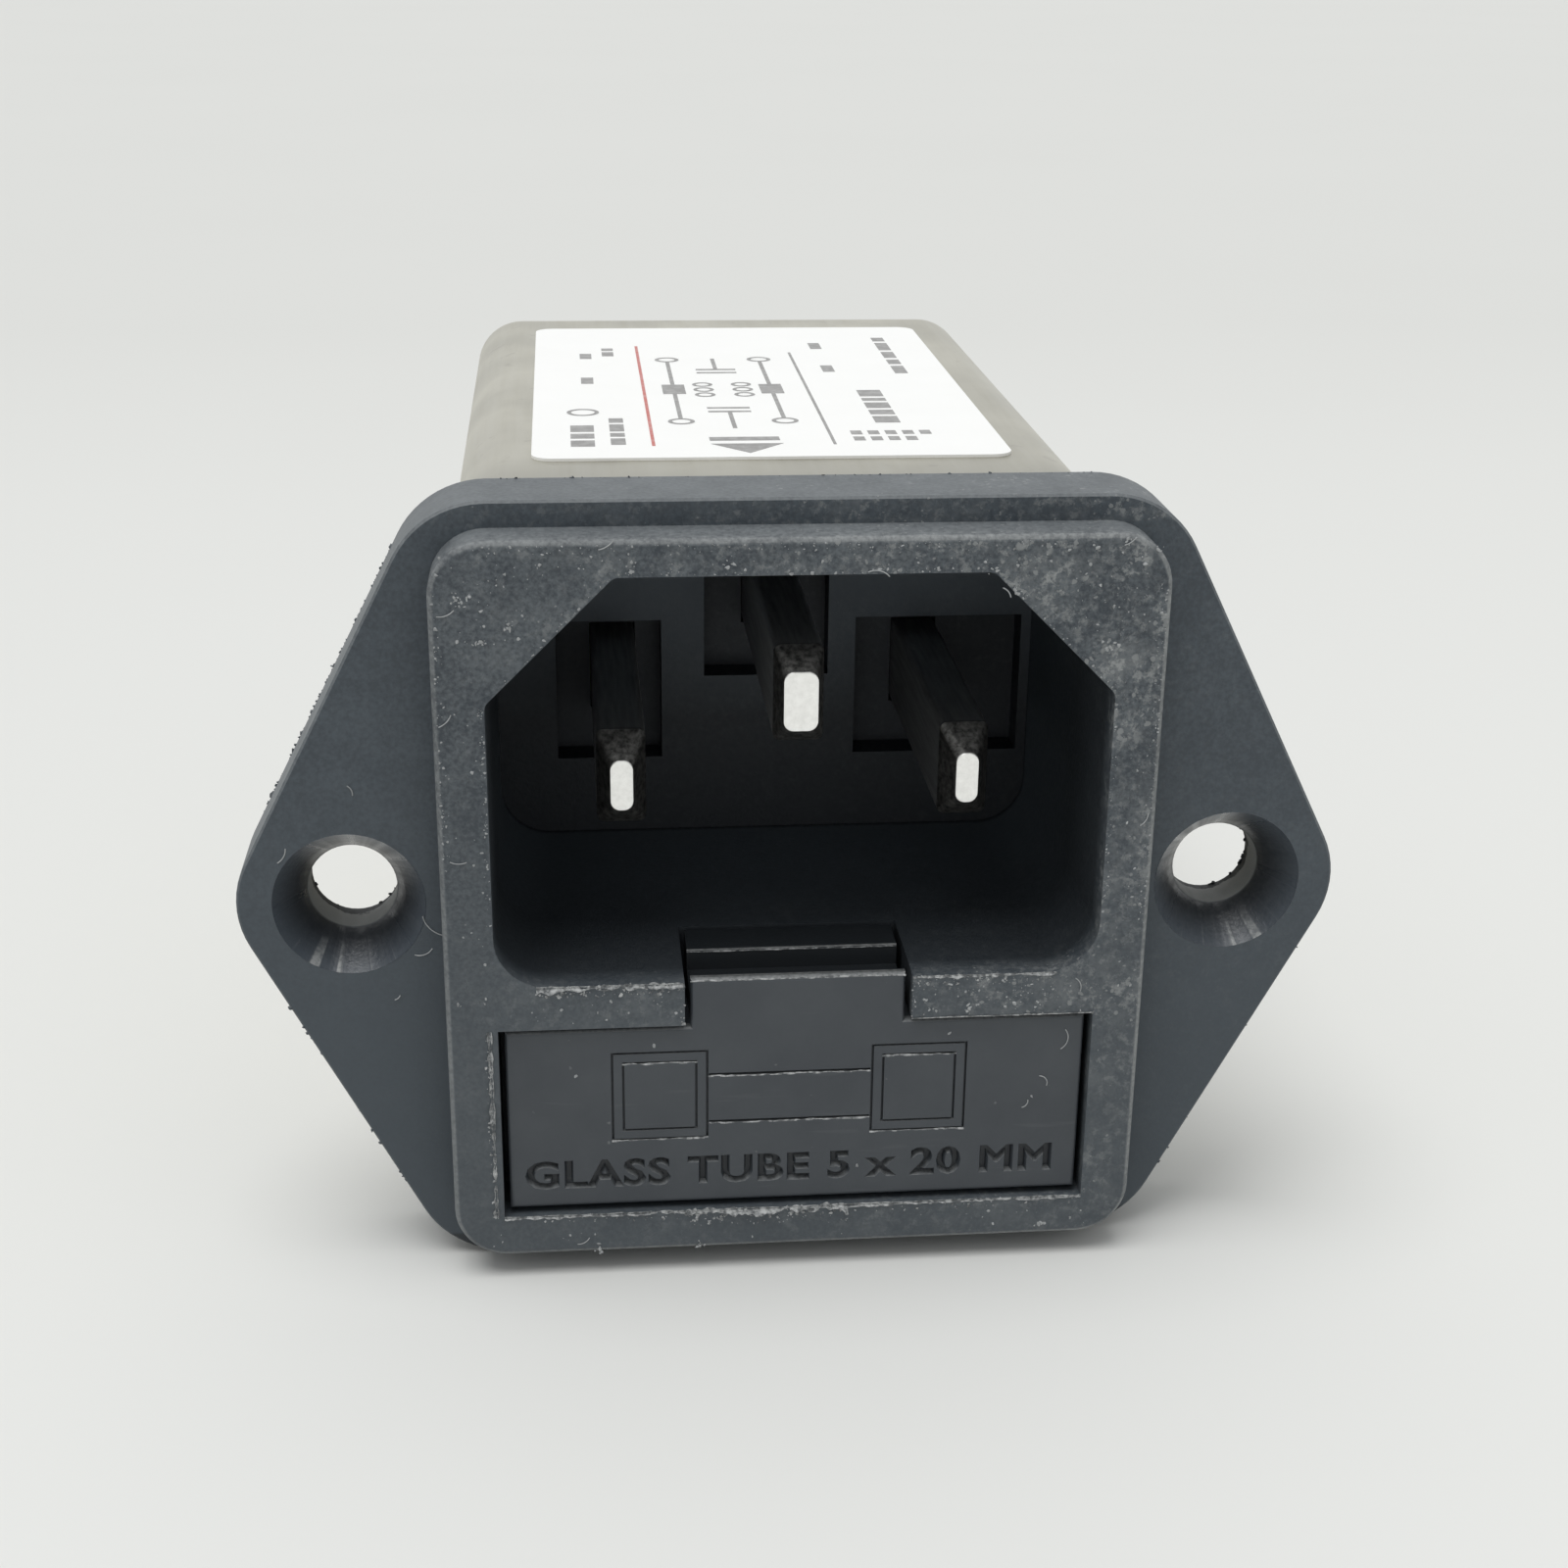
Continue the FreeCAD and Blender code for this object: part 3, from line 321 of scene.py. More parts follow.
def merge_in(solid, part):
    """Adds a small shape to a larger one and frees it."""
    shape = bpy.data.meshes.new("part")
    part.to_mesh(shape)
    part.free()
    solid.from_mesh(shape)
    bpy.data.meshes.remove(shape)


def add_sliver(solid, start, end, tear, lean, tallest):
    """A ragged sliver from start to end that stands up along tear and leans along lean."""
    run = end - start
    strip = bmesh.new()
    bmesh.ops.create_grid(strip, x_segments=int(run.length / SLIVER_PITCH), y_segments=3, size=0.5)
    for vert in strip.verts:
        foot = start + run * (vert.co.x + 0.5)
        share = vert.co.y + 0.5
        swell = 0.5 + 0.5 * noise.noise(foot * 600.0)
        ragged = 0.5 + 0.5 * noise.noise(foot * 4400.0 + Vector((0, share * 1.7, 0)))
        crest = tallest * (0.08 + 0.92 * swell) * (0.25 + 0.75 * ragged)
        waver = 0.3 * tallest * noise.noise(foot * 2600.0 + Vector((3.1, share, 0)))
        vert.co = foot + tear * (share * crest + waver) + lean * (share * share * crest * 0.6 + waver)
    bmesh.ops.solidify(strip, geom=strip.faces[:], thickness=SLIVER_THICKNESS)
    bmesh.ops.recalc_face_normals(strip, faces=strip.faces[:])
    merge_in(solid, strip)


def add_crumb(solid, spot, size):
    """One ragged crumb, half sunk where it lies."""
    turn = Matrix.Rotation(dice.uniform(0, math.pi), 4, "Y")
    stretch = Matrix.Diagonal((dice.uniform(0.7, 1.7), 0.55, dice.uniform(0.6, 1.2), 1))
    lump = bmesh.ops.create_icosphere(solid, subdivisions=1, radius=size,
                                      matrix=Matrix.Translation(spot) @ turn @ stretch)
    for vert in lump["verts"]:
        vert.co += 0.35 * size * Vector((dice.uniform(-1, 1), dice.uniform(-1, 1), dice.uniform(-1, 1)))


def add_crumb_row(solid, start, end, count, spread, largest):
    """Crumbs strewn along an edge, to one side of it by at most the spread."""
    for _ in range(count):
        spot = start.lerp(end, dice.random()) + spread * dice.random() ** 2
        add_crumb(solid, spot, largest * (0.25 + 0.75 * dice.random() ** 3))


up, down, front = Vector((0, 0, 1)), Vector((0, 0, -1)), Vector((0, -1, 0))
left, right = Vector((-1, 0, 0)), Vector((1, 0, 0))
bay_foot = Vector((bay_left, FACE_Y, bay_bottom)), Vector((bay_right, FACE_Y, bay_bottom))
heavy_foot = Vector((-4.6 * MM, FACE_Y, bay_bottom)), Vector((2.2 * MM, FACE_Y, bay_bottom))
bay_side = Vector((bay_left - 0.3 * MM, FACE_Y, bay_bottom)), Vector((bay_left - 0.3 * MM, FACE_Y, BAY_TOP_Z))
bay_head = Vector((TONGUE_HALF + BAY_GAP, FACE_Y, BAY_TOP_Z)), Vector((bay_right, FACE_Y, BAY_TOP_Z))
flash = bmesh.new()
add_sliver(flash, *bay_foot, up, front, 0.18 * MM)
add_sliver(flash, *bay_foot, down, front, 0.22 * MM)
add_sliver(flash, *heavy_foot, down, front, 0.6 * MM)
add_sliver(flash, *bay_side, left, front, 0.3 * MM)
add_sliver(flash, *bay_side, right, front, 0.18 * MM)
add_sliver(flash, *bay_head, up, front, 0.12 * MM)
add_crumb_row(flash, *bay_foot, 160, 0.4 * MM * down, 0.08 * MM)
add_crumb_row(flash, *heavy_foot, 170, 0.75 * MM * down, 0.09 * MM)
add_crumb_row(flash, *bay_side, 90, 0.22 * MM * left, 0.07 * MM)
add_crumb_row(flash, *bay_head, 20, 0.2 * MM * up, 0.07 * MM)
for side, tallest, count in ((-1, 0.42 * MM, 190), (1, 0.2 * MM, 110)):
    lip = Vector((side * (TONGUE_HALF + BAY_GAP), FACE_Y, lip_z)), Vector((side * 10.6 * MM, FACE_Y, lip_z))
    add_sliver(flash, *lip, down, front, tallest)
    add_sliver(flash, *lip, up, front, 0.4 * tallest)
    add_crumb_row(flash, *lip, count, 0.45 * MM * down, 0.08 * MM)
    jamb = Vector((side * (TONGUE_HALF + BAY_GAP), FACE_Y, BAY_TOP_Z)), lip[0]
    add_crumb_row(flash, *jamb, 14, side * 0.2 * MM * right, 0.07 * MM)
scuffed_finish = scuffed_nylon()
finished_piece(flash, "moulding_flash", "module", scuffed_finish, CRUMB_CREASE)

FLANGE_Y = -3.6 * MM
FLANGE_TIP_X = 22.95 * MM
FLANGE_FLAT_X = 14.5 * MM
REAR_EDGE_Y = -0.08 * MM
RIM_Y = -0.06 * MM
burrs = bmesh.new()
for side, low_count, high_count in ((-1, 14, 70), (1, 5, 16)):
    rows = (-1, FLANGE_Y + 0.1 * MM, low_count, 0.12 * MM), (1, REAR_EDGE_Y, high_count, 0.11 * MM)
    for end, edge_y, count, largest in rows:
        tip = Vector((side * FLANGE_TIP_X, edge_y, 0))
        corner = Vector((side * FLANGE_FLAT_X, edge_y, end * ROOF_Z))
        slant = tip.lerp(corner, 0.16), tip.lerp(corner, 0.84)
        add_crumb_row(burrs, *slant, count, 0.06 * MM * front, largest)
    top_edge = Vector((side * 13.0 * MM, REAR_EDGE_Y, ROOF_Z)), Vector((0, REAR_EDGE_Y, ROOF_Z))
    add_crumb_row(burrs, *top_edge, 22, 0.04 * MM * front, 0.07 * MM)
    for _ in range(16):
        bearing = dice.uniform(0, 2 * math.pi)
        rim_spot = Vector((side * HOLE_X + HOLE_RADIUS * math.cos(bearing), RIM_Y,
                           HOLE_RADIUS * math.sin(bearing)))
        add_crumb(burrs, rim_spot, dice.uniform(0.04, 0.11) * MM)
finished_piece(burrs, "flange_burrs", "module", housing_finish, CRUMB_CREASE)


# Dust and lint
# Packing dust, crumbs and a few hairs of lint that lie on the face, thickest along the top of the
# bezel, on the bar under the plug well and at the cut corners.

HAIR_RADIUS = 0.025 * MM
HAIR_LIFT = 0.02 * MM


def packing_dust():
    """Pale grey dust that differs from grain to grain."""
    finish, tree, shader, place = new_finish("packing_dust")
    grey = tint(tree, mottle(tree, place, 2100), (0.16, 0.168, 0.172, 1), (0.52, 0.535, 0.54, 1))
    tree.links.new(grey, shader.inputs["Base Color"])
    shader.inputs["Roughness"].default_value = 0.95
    return finish


def add_fibre(solid, spot, bend, sweep, turn):
    """A hair of lint that curls over the face, with its bend and sweep, turned about the face."""
    hair = bmesh.new()
    across = Matrix.Translation((bend, 0, 0)) @ Matrix.Rotation(math.pi / 2, 4, "X")
    bmesh.ops.create_circle(hair, segments=5, radius=HAIR_RADIUS, matrix=across)
    bmesh.ops.spin(hair, geom=hair.verts[:] + hair.edges[:], axis=(0, 0, 1), angle=math.radians(sweep),
                   steps=9)
    bmesh.ops.holes_fill(hair, edges=[edge for edge in hair.edges if edge.is_boundary], sides=5)
    bmesh.ops.recalc_face_normals(hair, faces=hair.faces[:])
    lay = (Matrix.Translation(spot) @ Matrix.Rotation(math.radians(turn), 4, "Y")
           @ Matrix.Rotation(math.pi / 2, 4, "X") @ Matrix.Translation((-bend, 0, 0)))
    bmesh.ops.transform(hair, matrix=lay, verts=hair.verts)
    merge_in(solid, hair)


def add_hairs(solid, y, hairs):
    """Hairs on a face: x, z and bend in millimetres, sweep and turn in degrees."""
    for x, z, bend, sweep, turn in hairs:
        add_fibre(solid, Vector((x * MM, y - HAIR_LIFT, z * MM)), bend * MM, sweep, turn)


dust_finish = packing_dust()
rim_x = BEZEL_HALF_X - BEZEL_EDGE
rim_z = BEZEL_HALF_Z - BEZEL_EDGE
# A count, then the field's reach in x and in z.
dust_fields = (
    (80, -rim_x, rim_x, 14.1 * MM, rim_z),
    (26, -rim_x, -12.4 * MM, -4.0 * MM, 14.0 * MM),
    (26, 12.4 * MM, rim_x, -4.0 * MM, 14.0 * MM),
    (24, -11.5 * MM, -4.8 * MM, -4.7 * MM, -3.2 * MM),
    (70, 4.8 * MM, 11.5 * MM, -4.7 * MM, -3.2 * MM),
    (22, -rim_x, rim_x, -rim_z, -13.9 * MM),
    (30, -13.4 * MM, -10.4 * MM, 11.4 * MM, 14.0 * MM),
    (26, 10.4 * MM, 13.4 * MM, 11.4 * MM, 14.0 * MM),
)
crumbs = bmesh.new()
for count, x_low, x_high, z_low, z_high in dust_fields:
    for _ in range(count):
        spot = Vector((dice.uniform(x_low, x_high), FACE_Y, dice.uniform(z_low, z_high)))
        add_crumb(crumbs, spot, 0.02 * MM + 0.06 * MM * dice.random() ** 3)
# A count, the row's two ends in millimetres across and up, and the way it spreads.
mouth_rows = (
    (60, (-12.3, -0.4), (-12.3, 9.0), 0.2 * MM * left),
    (50, (12.3, -0.4), (12.3, 9.0), 0.2 * MM * right),
    (50, (-7.2, 14.05), (7.2, 14.05), 0.15 * MM * up),
    (26, (-12.3, 9.0), (-7.3, 14.05), 0.2 * MM * left),
    (40, (12.3, 9.0), (7.3, 14.05), 0.2 * MM * right),
    (110, (14.05, -1.0), (14.05, 13.5), 0.3 * MM * left),
    (70, (-14.05, 2.0), (-14.05, 13.5), 0.3 * MM * right),
    (90, (-12.5, 15.25), (12.5, 15.25), 0.3 * MM * down),
)
for count, start, end, spread in mouth_rows:
    start, end = (Vector((x * MM, FACE_Y, z * MM)) for x, z in (start, end))
    add_crumb_row(crumbs, start, end, count, spread, 0.06 * MM)
# A place in millimetres across and up, and a count.
smudges = (
    (-12.97, 13.21, 16), (-11.25, 12.1, 9), (-12.34, 11.5, 10), (-6.55, 14.4, 6), (-2.94, 14.45, 6),
    (11.9, 11.0, 8), (5.0, 14.2, 4), (7.2, 14.15, 5), (8.3, 13.1, 4), (-8.3, -15.3, 7),
    (-4.0, -15.3, 5), (10.6, -14.9, 6),
)
for x, z, count in smudges:
    for _ in range(count):
        spot = Vector((x * MM + dice.gauss(0, 0.16 * MM), FACE_Y, z * MM + dice.gauss(0, 0.12 * MM)))
        add_crumb(crumbs, spot, 0.03 * MM + 0.05 * MM * dice.random())
add_hairs(crumbs, FACE_Y, (
    (-7.8, 15.1, 0.9, 45, 80), (-13.9, 12.6, 0.7, 60, 100), (-14.0, 8.2, 0.8, 50, 70),
    (12.2, 15.0, 0.8, 40, 75), (3.2, 13.9, 0.7, 75, -40), (7.9, 13.0, 0.5, 60, -10),
    (-9.2, -15.0, 0.5, 70, 95), (13.6, 3.4, 0.6, 60, 60), (11.6, -3.9, 0.5, 80, 20),
    (-13.8, 2.6, 0.7, 55, 120),
))
add_hairs(crumbs, FLANGE_Y, (
    (-15.1, -0.6, 1.1, 70, 170), (-15.5, -2.3, 0.6, 80, 110), (-20.7, 1.9, 0.7, 60, 60),
    (-17.6, 4.7, 0.4, 70, 10), (-16.4, -4.3, 0.3, 60, 80),
))
finished_piece(crumbs, "face_dust", "module", dust_finish, CRUMB_CREASE)


# Contact pins
# Three drawn brass blades with dull nickel plating, pressed into the floor of the plug well. The tips
# are coined to a taper and sheared flat, so the flats are bright and the tapers rough.

def nickel_pin(name, tip_y, taper):
    """Nickel plate: bright sheared flat, rough coined taper and a drawn blade."""
    finish, tree, shader, place = new_finish(name)
    depth = add_node(tree, "ShaderNodeSeparateXYZ", {"Vector": place}).outputs["Y"]
    flat = reach(tree, depth, tip_y + 0.015 * MM, tip_y + 0.05 * MM, 1.0, 0.0)
    coined = reach(tree, depth, tip_y + taper, tip_y + taper + 0.2 * MM, 1.0, 0.0)
    pits = mottle(tree, place, 4200, 5.0)
    drawn = add_node(tree, "ShaderNodeMapping", {"Vector": place, "Scale": (1.0, 0.06, 1.0)}).outputs[0]
    streaks = mottle(tree, drawn, 5200, 3.0)
    # Painted shade: the drawn plate, and still more the coined taper, are painted far darker than nickel, for
    # the shade of the deep well; the sheared flats stay bright.
    plate = tint(tree, reach(tree, streaks, 0.3, 0.7), (0.20, 0.204, 0.207, 1), (0.33, 0.335, 0.338, 1))
    painted_taper_shade = tint(tree, reach(tree, pits, 0.35, 0.65), (0.035, 0.035, 0.034, 1), (0.15, 0.148, 0.142, 1))
    sheared = tint(tree, reach(tree, pits, 0.3, 0.7), (0.85, 0.845, 0.82, 1), (0.97, 0.965, 0.94, 1))
    colour = tint(tree, flat, tint(tree, coined, plate, painted_taper_shade), sheared)
    tree.links.new(colour, shader.inputs["Base Color"])
    shader.inputs["Metallic"].default_value = 1.0
    tree.links.new(reach(tree, flat, 0.0, 1.0, 0.5, 0.42), shader.inputs["Roughness"])
    relief(tree, shader, sum_up(tree, "ADD", pits, sum_up(tree, "MULTIPLY", streaks, 0.4)), 0.025 * MM, 0.7)
    return finish


TIP_TAPER = 1.2 * MM
live_finish = nickel_pin("nickel_live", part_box("line_pin")[0].y, TIP_TAPER)
earth_finish = nickel_pin("nickel_earth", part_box("earth_pin")[0].y, TIP_TAPER)
pin_finishes = {"line_pin": live_finish, "neutral_pin": live_finish, "earth_pin": earth_finish}
for node_name, finish in pin_finishes.items():
    blade = finished_piece(joined_copy(node_name), node_name + "_blade", "module", finish, 25)
    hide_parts(node_name)


# Fuse drawer
# A smoother black nylon moulding that carries the fuse. Its face has a sunk outline of a cartridge
# fuse and a sunk row of plain sizes, both from the tool, and a groove behind the lip to pry it out.

PLATE_Y = drawer_low.y
TONGUE_TOP = drawer_high.z
LIP_REAR_Y = PLATE_Y + 0.6 * MM
GROOVE_REAR_Y = LIP_REAR_Y + 2.2 * MM
MARK_LINE = 0.1 * MM
MARK_DEPTH = 0.22 * MM
ROW_DEPTH = 0.3 * MM
ROW_SLANT = 0.045
ROW_LOW = -12.5 * MM
ROW_HEIGHT = 1.36 * MM
ROW_TOP = ROW_LOW + ROW_HEIGHT


def drawer_nylon():
    """Black nylon from a smoother tool: low sheen, faint cloudiness, a few scratches and dust specks, with
    painted highlights on upward ledges and painted shade in the sunk row and the pry groove.
    """
    finish, tree, shader, place = new_finish("drawer_nylon")
    grain = mottle(tree, place, 6400, 3.0)
    cloud = mottle(tree, place, 300, 4.0)
    long_marks = add_node(tree, "ShaderNodeMapping", {"Vector": place, "Rotation": (0, 0.5, 0),
                                                      "Scale": (0.08, 1.0, 1.0)}).outputs[0]
    marks = reach(tree, mottle(tree, long_marks, 2400, 2.0), 0.66, 0.72)
    base = tint(tree, reach(tree, cloud, 0.3, 0.7), (0.045, 0.052, 0.061, 1), (0.058, 0.066, 0.075, 1))
    specks = dust_specks(tree, rumple(tree, place), 1300, 0.2, 0.7)
    pale = sum_up(tree, "ADD", sum_up(tree, "MULTIPLY", marks, 0.03), sum_up(tree, "MULTIPLY", specks, 0.5))

    axes = add_node(tree, "ShaderNodeSeparateXYZ", {"Vector": place}).outputs
    facing = add_node(tree, "ShaderNodeNewGeometry", {}).outputs["Normal"]
    upward = add_node(tree, "ShaderNodeSeparateXYZ", {"Vector": facing}).outputs["Z"]
    past_face = reach(tree, axes["Y"], PLATE_Y + 0.2 * MM, PLATE_Y + 0.3 * MM)
    on_lip = sum_up(tree, "MULTIPLY", sum_up(tree, "SUBTRACT", 1.0, past_face),
                    reach(tree, axes["Z"], TONGUE_TOP - 0.4 * MM, TONGUE_TOP - 0.3 * MM))
    from_edge = sum_up(tree, "ABSOLUTE", sum_up(tree, "SUBTRACT", axes["Y"], GROOVE_REAR_Y))
    on_rim = sum_up(tree, "MULTIPLY", reach(tree, from_edge, 0.08 * MM, 0.14 * MM, 1.0, 0.0),
                    reach(tree, axes["Z"], TONGUE_TOP - 0.2 * MM, TONGUE_TOP - 0.1 * MM))
    # Dust and painted highlight: upward faces on the lip, on the groove's rear rim and on the walls of the
    # sunk marks are painted pale.
    on_ledge = reach(tree, axes["Y"], PLATE_Y + 0.4 * MM, PLATE_Y + 0.45 * MM, 1.0, 0.0)
    caught = sum_up(tree, "MULTIPLY", reach(tree, upward, 0.3, 0.75), reach(tree, grain, 0.3, 0.6, 0.25, 0.6))
    ledges = sum_up(tree, "MAXIMUM", on_lip, on_rim, sum_up(tree, "MULTIPLY", on_ledge, 0.6))
    pale = sum_up(tree, "MAXIMUM", pale, sum_up(tree, "MULTIPLY", caught, ledges))
    # Painted shade: the floors and walls of the sunk row of sizes are painted near black.
    row_floor = PLATE_Y + ROW_DEPTH
    on_row = sum_up(tree, "MULTIPLY", reach(tree, axes["Y"], PLATE_Y + 0.1 * MM, PLATE_Y + 0.3 * MM),
                    reach(tree, axes["Y"], row_floor + 0.02 * MM, row_floor + 0.05 * MM, 1.0, 0.0),
                    reach(tree, axes["Z"], ROW_TOP, ROW_TOP + 0.1 * MM, 1.0, 0.0))
    base = tint(tree, on_row, base, PAINTED_SHADE_BLACK)
    # Painted shade: the pry groove behind the lip is painted near black.
    in_groove = sum_up(tree, "MULTIPLY", past_face,
                       reach(tree, axes["Z"], TONGUE_TOP - 1.3 * MM, TONGUE_TOP - 1.2 * MM))
    base = tint(tree, in_groove, base, (0.013, 0.016, 0.019, 1))
    # Scratches, dust specks and the painted ledge highlights share this pale colour.
    tree.links.new(tint(tree, pale, base, (0.40, 0.41, 0.405, 1)), shader.inputs["Base Color"])
    tree.links.new(reach(tree, grain, 0.2, 0.8, 0.42, 0.56), shader.inputs["Roughness"])
    relief(tree, shader, grain, 0.012 * MM, 0.5)
    return finish


def add_sunk_frame(cutter, x_middle, z_middle, width, height, groove):
    """A rectangular groove round a raised middle."""
    sheet = bmesh.new()
    spot = Matrix.Translation((x_middle, PLATE_Y - MARK_DEPTH, z_middle))
    facing = spot @ Matrix.Rotation(math.pi / 2, 4, "X")
    bmesh.ops.create_grid(sheet, x_segments=1, y_segments=1, size=0.5)
    bmesh.ops.scale(sheet, verts=sheet.verts, vec=(width, height, 1))
    if groove < min(width, height) / 2:
        middle = sheet.faces[:]
        bmesh.ops.inset_region(sheet, faces=middle, thickness=groove, use_boundary=True, use_even_offset=True)
        bmesh.ops.delete(sheet, geom=middle, context="FACES")
    grown = bmesh.ops.extrude_face_region(sheet, geom=sheet.faces[:])
    far = [item for item in grown["geom"] if isinstance(item, bmesh.types.BMVert)]
    bmesh.ops.translate(sheet, verts=far, vec=(0, 0, -2 * MARK_DEPTH))
    bmesh.ops.transform(sheet, matrix=facing, verts=sheet.verts)
    bmesh.ops.recalc_face_normals(sheet, faces=sheet.faces[:])
    merge_in(cutter, sheet)


def sunk_row(words, x_middle, z_low, width, height):
    """A row of plain characters as solids that reach into the face and narrow as they go."""
    row = bpy.data.curves.new("sunk_row", "FONT")
    row.body = words
    row.align_x = "CENTER"
    row.space_character = 1.12
    row.bevel_depth = ROW_SLANT
    row.bevel_resolution = 0
    row.resolution_u = 3
    stand_in = bpy.data.objects.new("sunk_row", row)
    bpy.context.collection.objects.link(stand_in)
    bpy.context.view_layer.update()
    mesh = bpy.data.meshes.new_from_object(stand_in)
    box = [Vector(corner) for corner in stand_in.bound_box]
    low, high = box[0], box[6]
    bpy.data.objects.remove(stand_in)
    size = Matrix.Diagonal((width / (high.x - low.x), height / (high.y - low.y), ROW_DEPTH / ROW_SLANT, 1))
    place = Matrix.Translation((x_middle, PLATE_Y, z_low)) @ Matrix.Rotation(math.pi / 2, 4, "X")
    cutter = bmesh.new()
    cutter.from_mesh(mesh)
    bmesh.ops.remove_doubles(cutter, verts=cutter.verts, dist=0.0001)
    bmesh.ops.transform(cutter, matrix=place @ size @ Matrix.Translation((-(low.x + high.x) / 2, -low.y, 0)),
                        verts=cutter.verts)
    bmesh.ops.recalc_face_normals(cutter, faces=cutter.faces[:])
    cutter.to_mesh(mesh)
    cutter.free()
    return mesh


def settle_order(solid):
    """Puts points, edges and faces in a fixed order, so that each run cuts alike."""
    way = Vector((1.0, 0.618, 0.273))
    solid.verts.sort(key=lambda vert: vert.co.dot(way))
    solid.edges.sort(key=lambda edge: (edge.verts[0].co + edge.verts[1].co).dot(way))
    solid.faces.sort(key=lambda face: face.calc_center_median().dot(way))


def cut_from(solid, name, cutters):
    """A shape with the cutters' shapes taken out of it."""
    mesh = bpy.data.meshes.new(name)
    solid.to_mesh(mesh)
    solid.free()
    for cutter_mesh in cutters:
        stock = bpy.data.objects.new("stock", mesh)
        tool = bpy.data.objects.new("tool", cutter_mesh)
        for item in (stock, tool):
            bpy.context.collection.objects.link(item)
        cut = stock.modifiers.new("cut", "BOOLEAN")
        cut.object = tool
        cut.solver = "EXACT"
        cut.use_self = True
        seen = stock.evaluated_get(bpy.context.evaluated_depsgraph_get())
        mesh = bpy.data.meshes.new_from_object(seen)
        bpy.data.objects.remove(stock)
        bpy.data.objects.remove(tool)
    result = bmesh.new()
    result.from_mesh(mesh)
    bmesh.ops.remove_doubles(result, verts=result.verts, dist=JOIN)
    return result


FUSE_MARK_X = -0.3 * MM
FUSE_MARK_Z = -8.25 * MM
CAP_MARK = 4.0 * MM
CAP_MARK_HEIGHT = 4.1 * MM
CAP_MARK_RIM = 0.45 * MM
TUBE_MARK = 6.75 * MM
TUBE_MARK_HEIGHT = 2.2 * MM
TUBE_MARK_Z = FUSE_MARK_Z - 0.2 * MM
MARK_BREAK = 0.04 * MM
ROW_X = -0.2 * MM
ROW_WIDTH = 22.2 * MM
RIM_ROUND = 0.1 * MM
marks = bmesh.new()
for side in (-1, 1):
    cap_x = FUSE_MARK_X + side * (TUBE_MARK + CAP_MARK) / 2
    for rim in (0.0, CAP_MARK_RIM):
        add_sunk_frame(marks, cap_x, FUSE_MARK_Z, CAP_MARK - 2 * rim, CAP_MARK_HEIGHT - 2 * rim, MARK_LINE)
    line_z = TUBE_MARK_Z + side * TUBE_MARK_HEIGHT / 2
    add_sunk_frame(marks, FUSE_MARK_X, line_z, TUBE_MARK - MARK_BREAK, 1.4 * MARK_LINE, MARK_LINE)
settle_order(marks)
marks_mesh = bpy.data.meshes.new("fuse_marks")
marks.to_mesh(marks_mesh)
marks.free()
row_mesh = sunk_row("GLASS TUBE 5 x 20 MM", ROW_X, ROW_LOW, ROW_WIDTH, ROW_HEIGHT)
blank = joined_copy("fuse_drawer")
bmesh.ops.dissolve_limit(blank, angle_limit=math.radians(0.5), verts=blank.verts, edges=blank.edges)
on_top = {vert for vert in blank.verts
          if abs(vert.co.z - TONGUE_TOP) < 0.01 * MM and vert.co.y > LIP_REAR_Y - 0.1 * MM}
rims = [edge for edge in blank.edges if on_top.issuperset(edge.verts)
        and abs(edge.verts[0].co.x - edge.verts[1].co.x) > TONGUE_HALF]
bmesh.ops.bevel(blank, geom=rims, offset=RIM_ROUND, segments=2, profile=0.5, affect="EDGES", material=-1)
drawer_shape = cut_from(blank, "drawer_shape", (marks_mesh, row_mesh))
drawer = finished_piece(drawer_shape, "drawer", "drawer", drawer_nylon(), 35)
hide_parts("fuse_drawer")

# Pale burrs along the tongue's lip, the groove's rear edge and the lines of the fuse outline; they are also
# painted highlights, standing in for the light these edges catch.
ragged_edges = bmesh.new()
back = Vector((0, 1, 0))
for y, tallest in ((PLATE_Y + 0.02 * MM, 0.09 * MM), (GROOVE_REAR_Y - 0.02 * MM, 0.06 * MM)):
    add_sliver(ragged_edges, Vector((-TONGUE_HALF, y, TONGUE_TOP - 0.06 * MM)),
               Vector((TONGUE_HALF, y, TONGUE_TOP - 0.06 * MM)), up, back, tallest)
for side in (-1, 1):
    cap_x = FUSE_MARK_X + side * (TUBE_MARK + CAP_MARK) / 2
    for rim, end in ((0.0, -1), (CAP_MARK_RIM, 1)):
        half_width = CAP_MARK / 2 - rim
        line_z = FUSE_MARK_Z + end * (CAP_MARK_HEIGHT / 2 - rim) - (end + 1) / 2 * MARK_LINE
        add_sliver(ragged_edges, Vector((cap_x - half_width, PLATE_Y, line_z)),
                   Vector((cap_x + half_width, PLATE_Y, line_z)), up, back, 0.1 * MM)
    line_z = TUBE_MARK_Z + side * TUBE_MARK_HEIGHT / 2 - 0.7 * MARK_LINE
    add_sliver(ragged_edges, Vector((FUSE_MARK_X - TUBE_MARK / 2, PLATE_Y, line_z)),
               Vector((FUSE_MARK_X + TUBE_MARK / 2, PLATE_Y, line_z)), up, back, 0.09 * MM)
finished_piece(ragged_edges, "drawer_burrs", "drawer", scuffed_finish, CRUMB_CREASE)

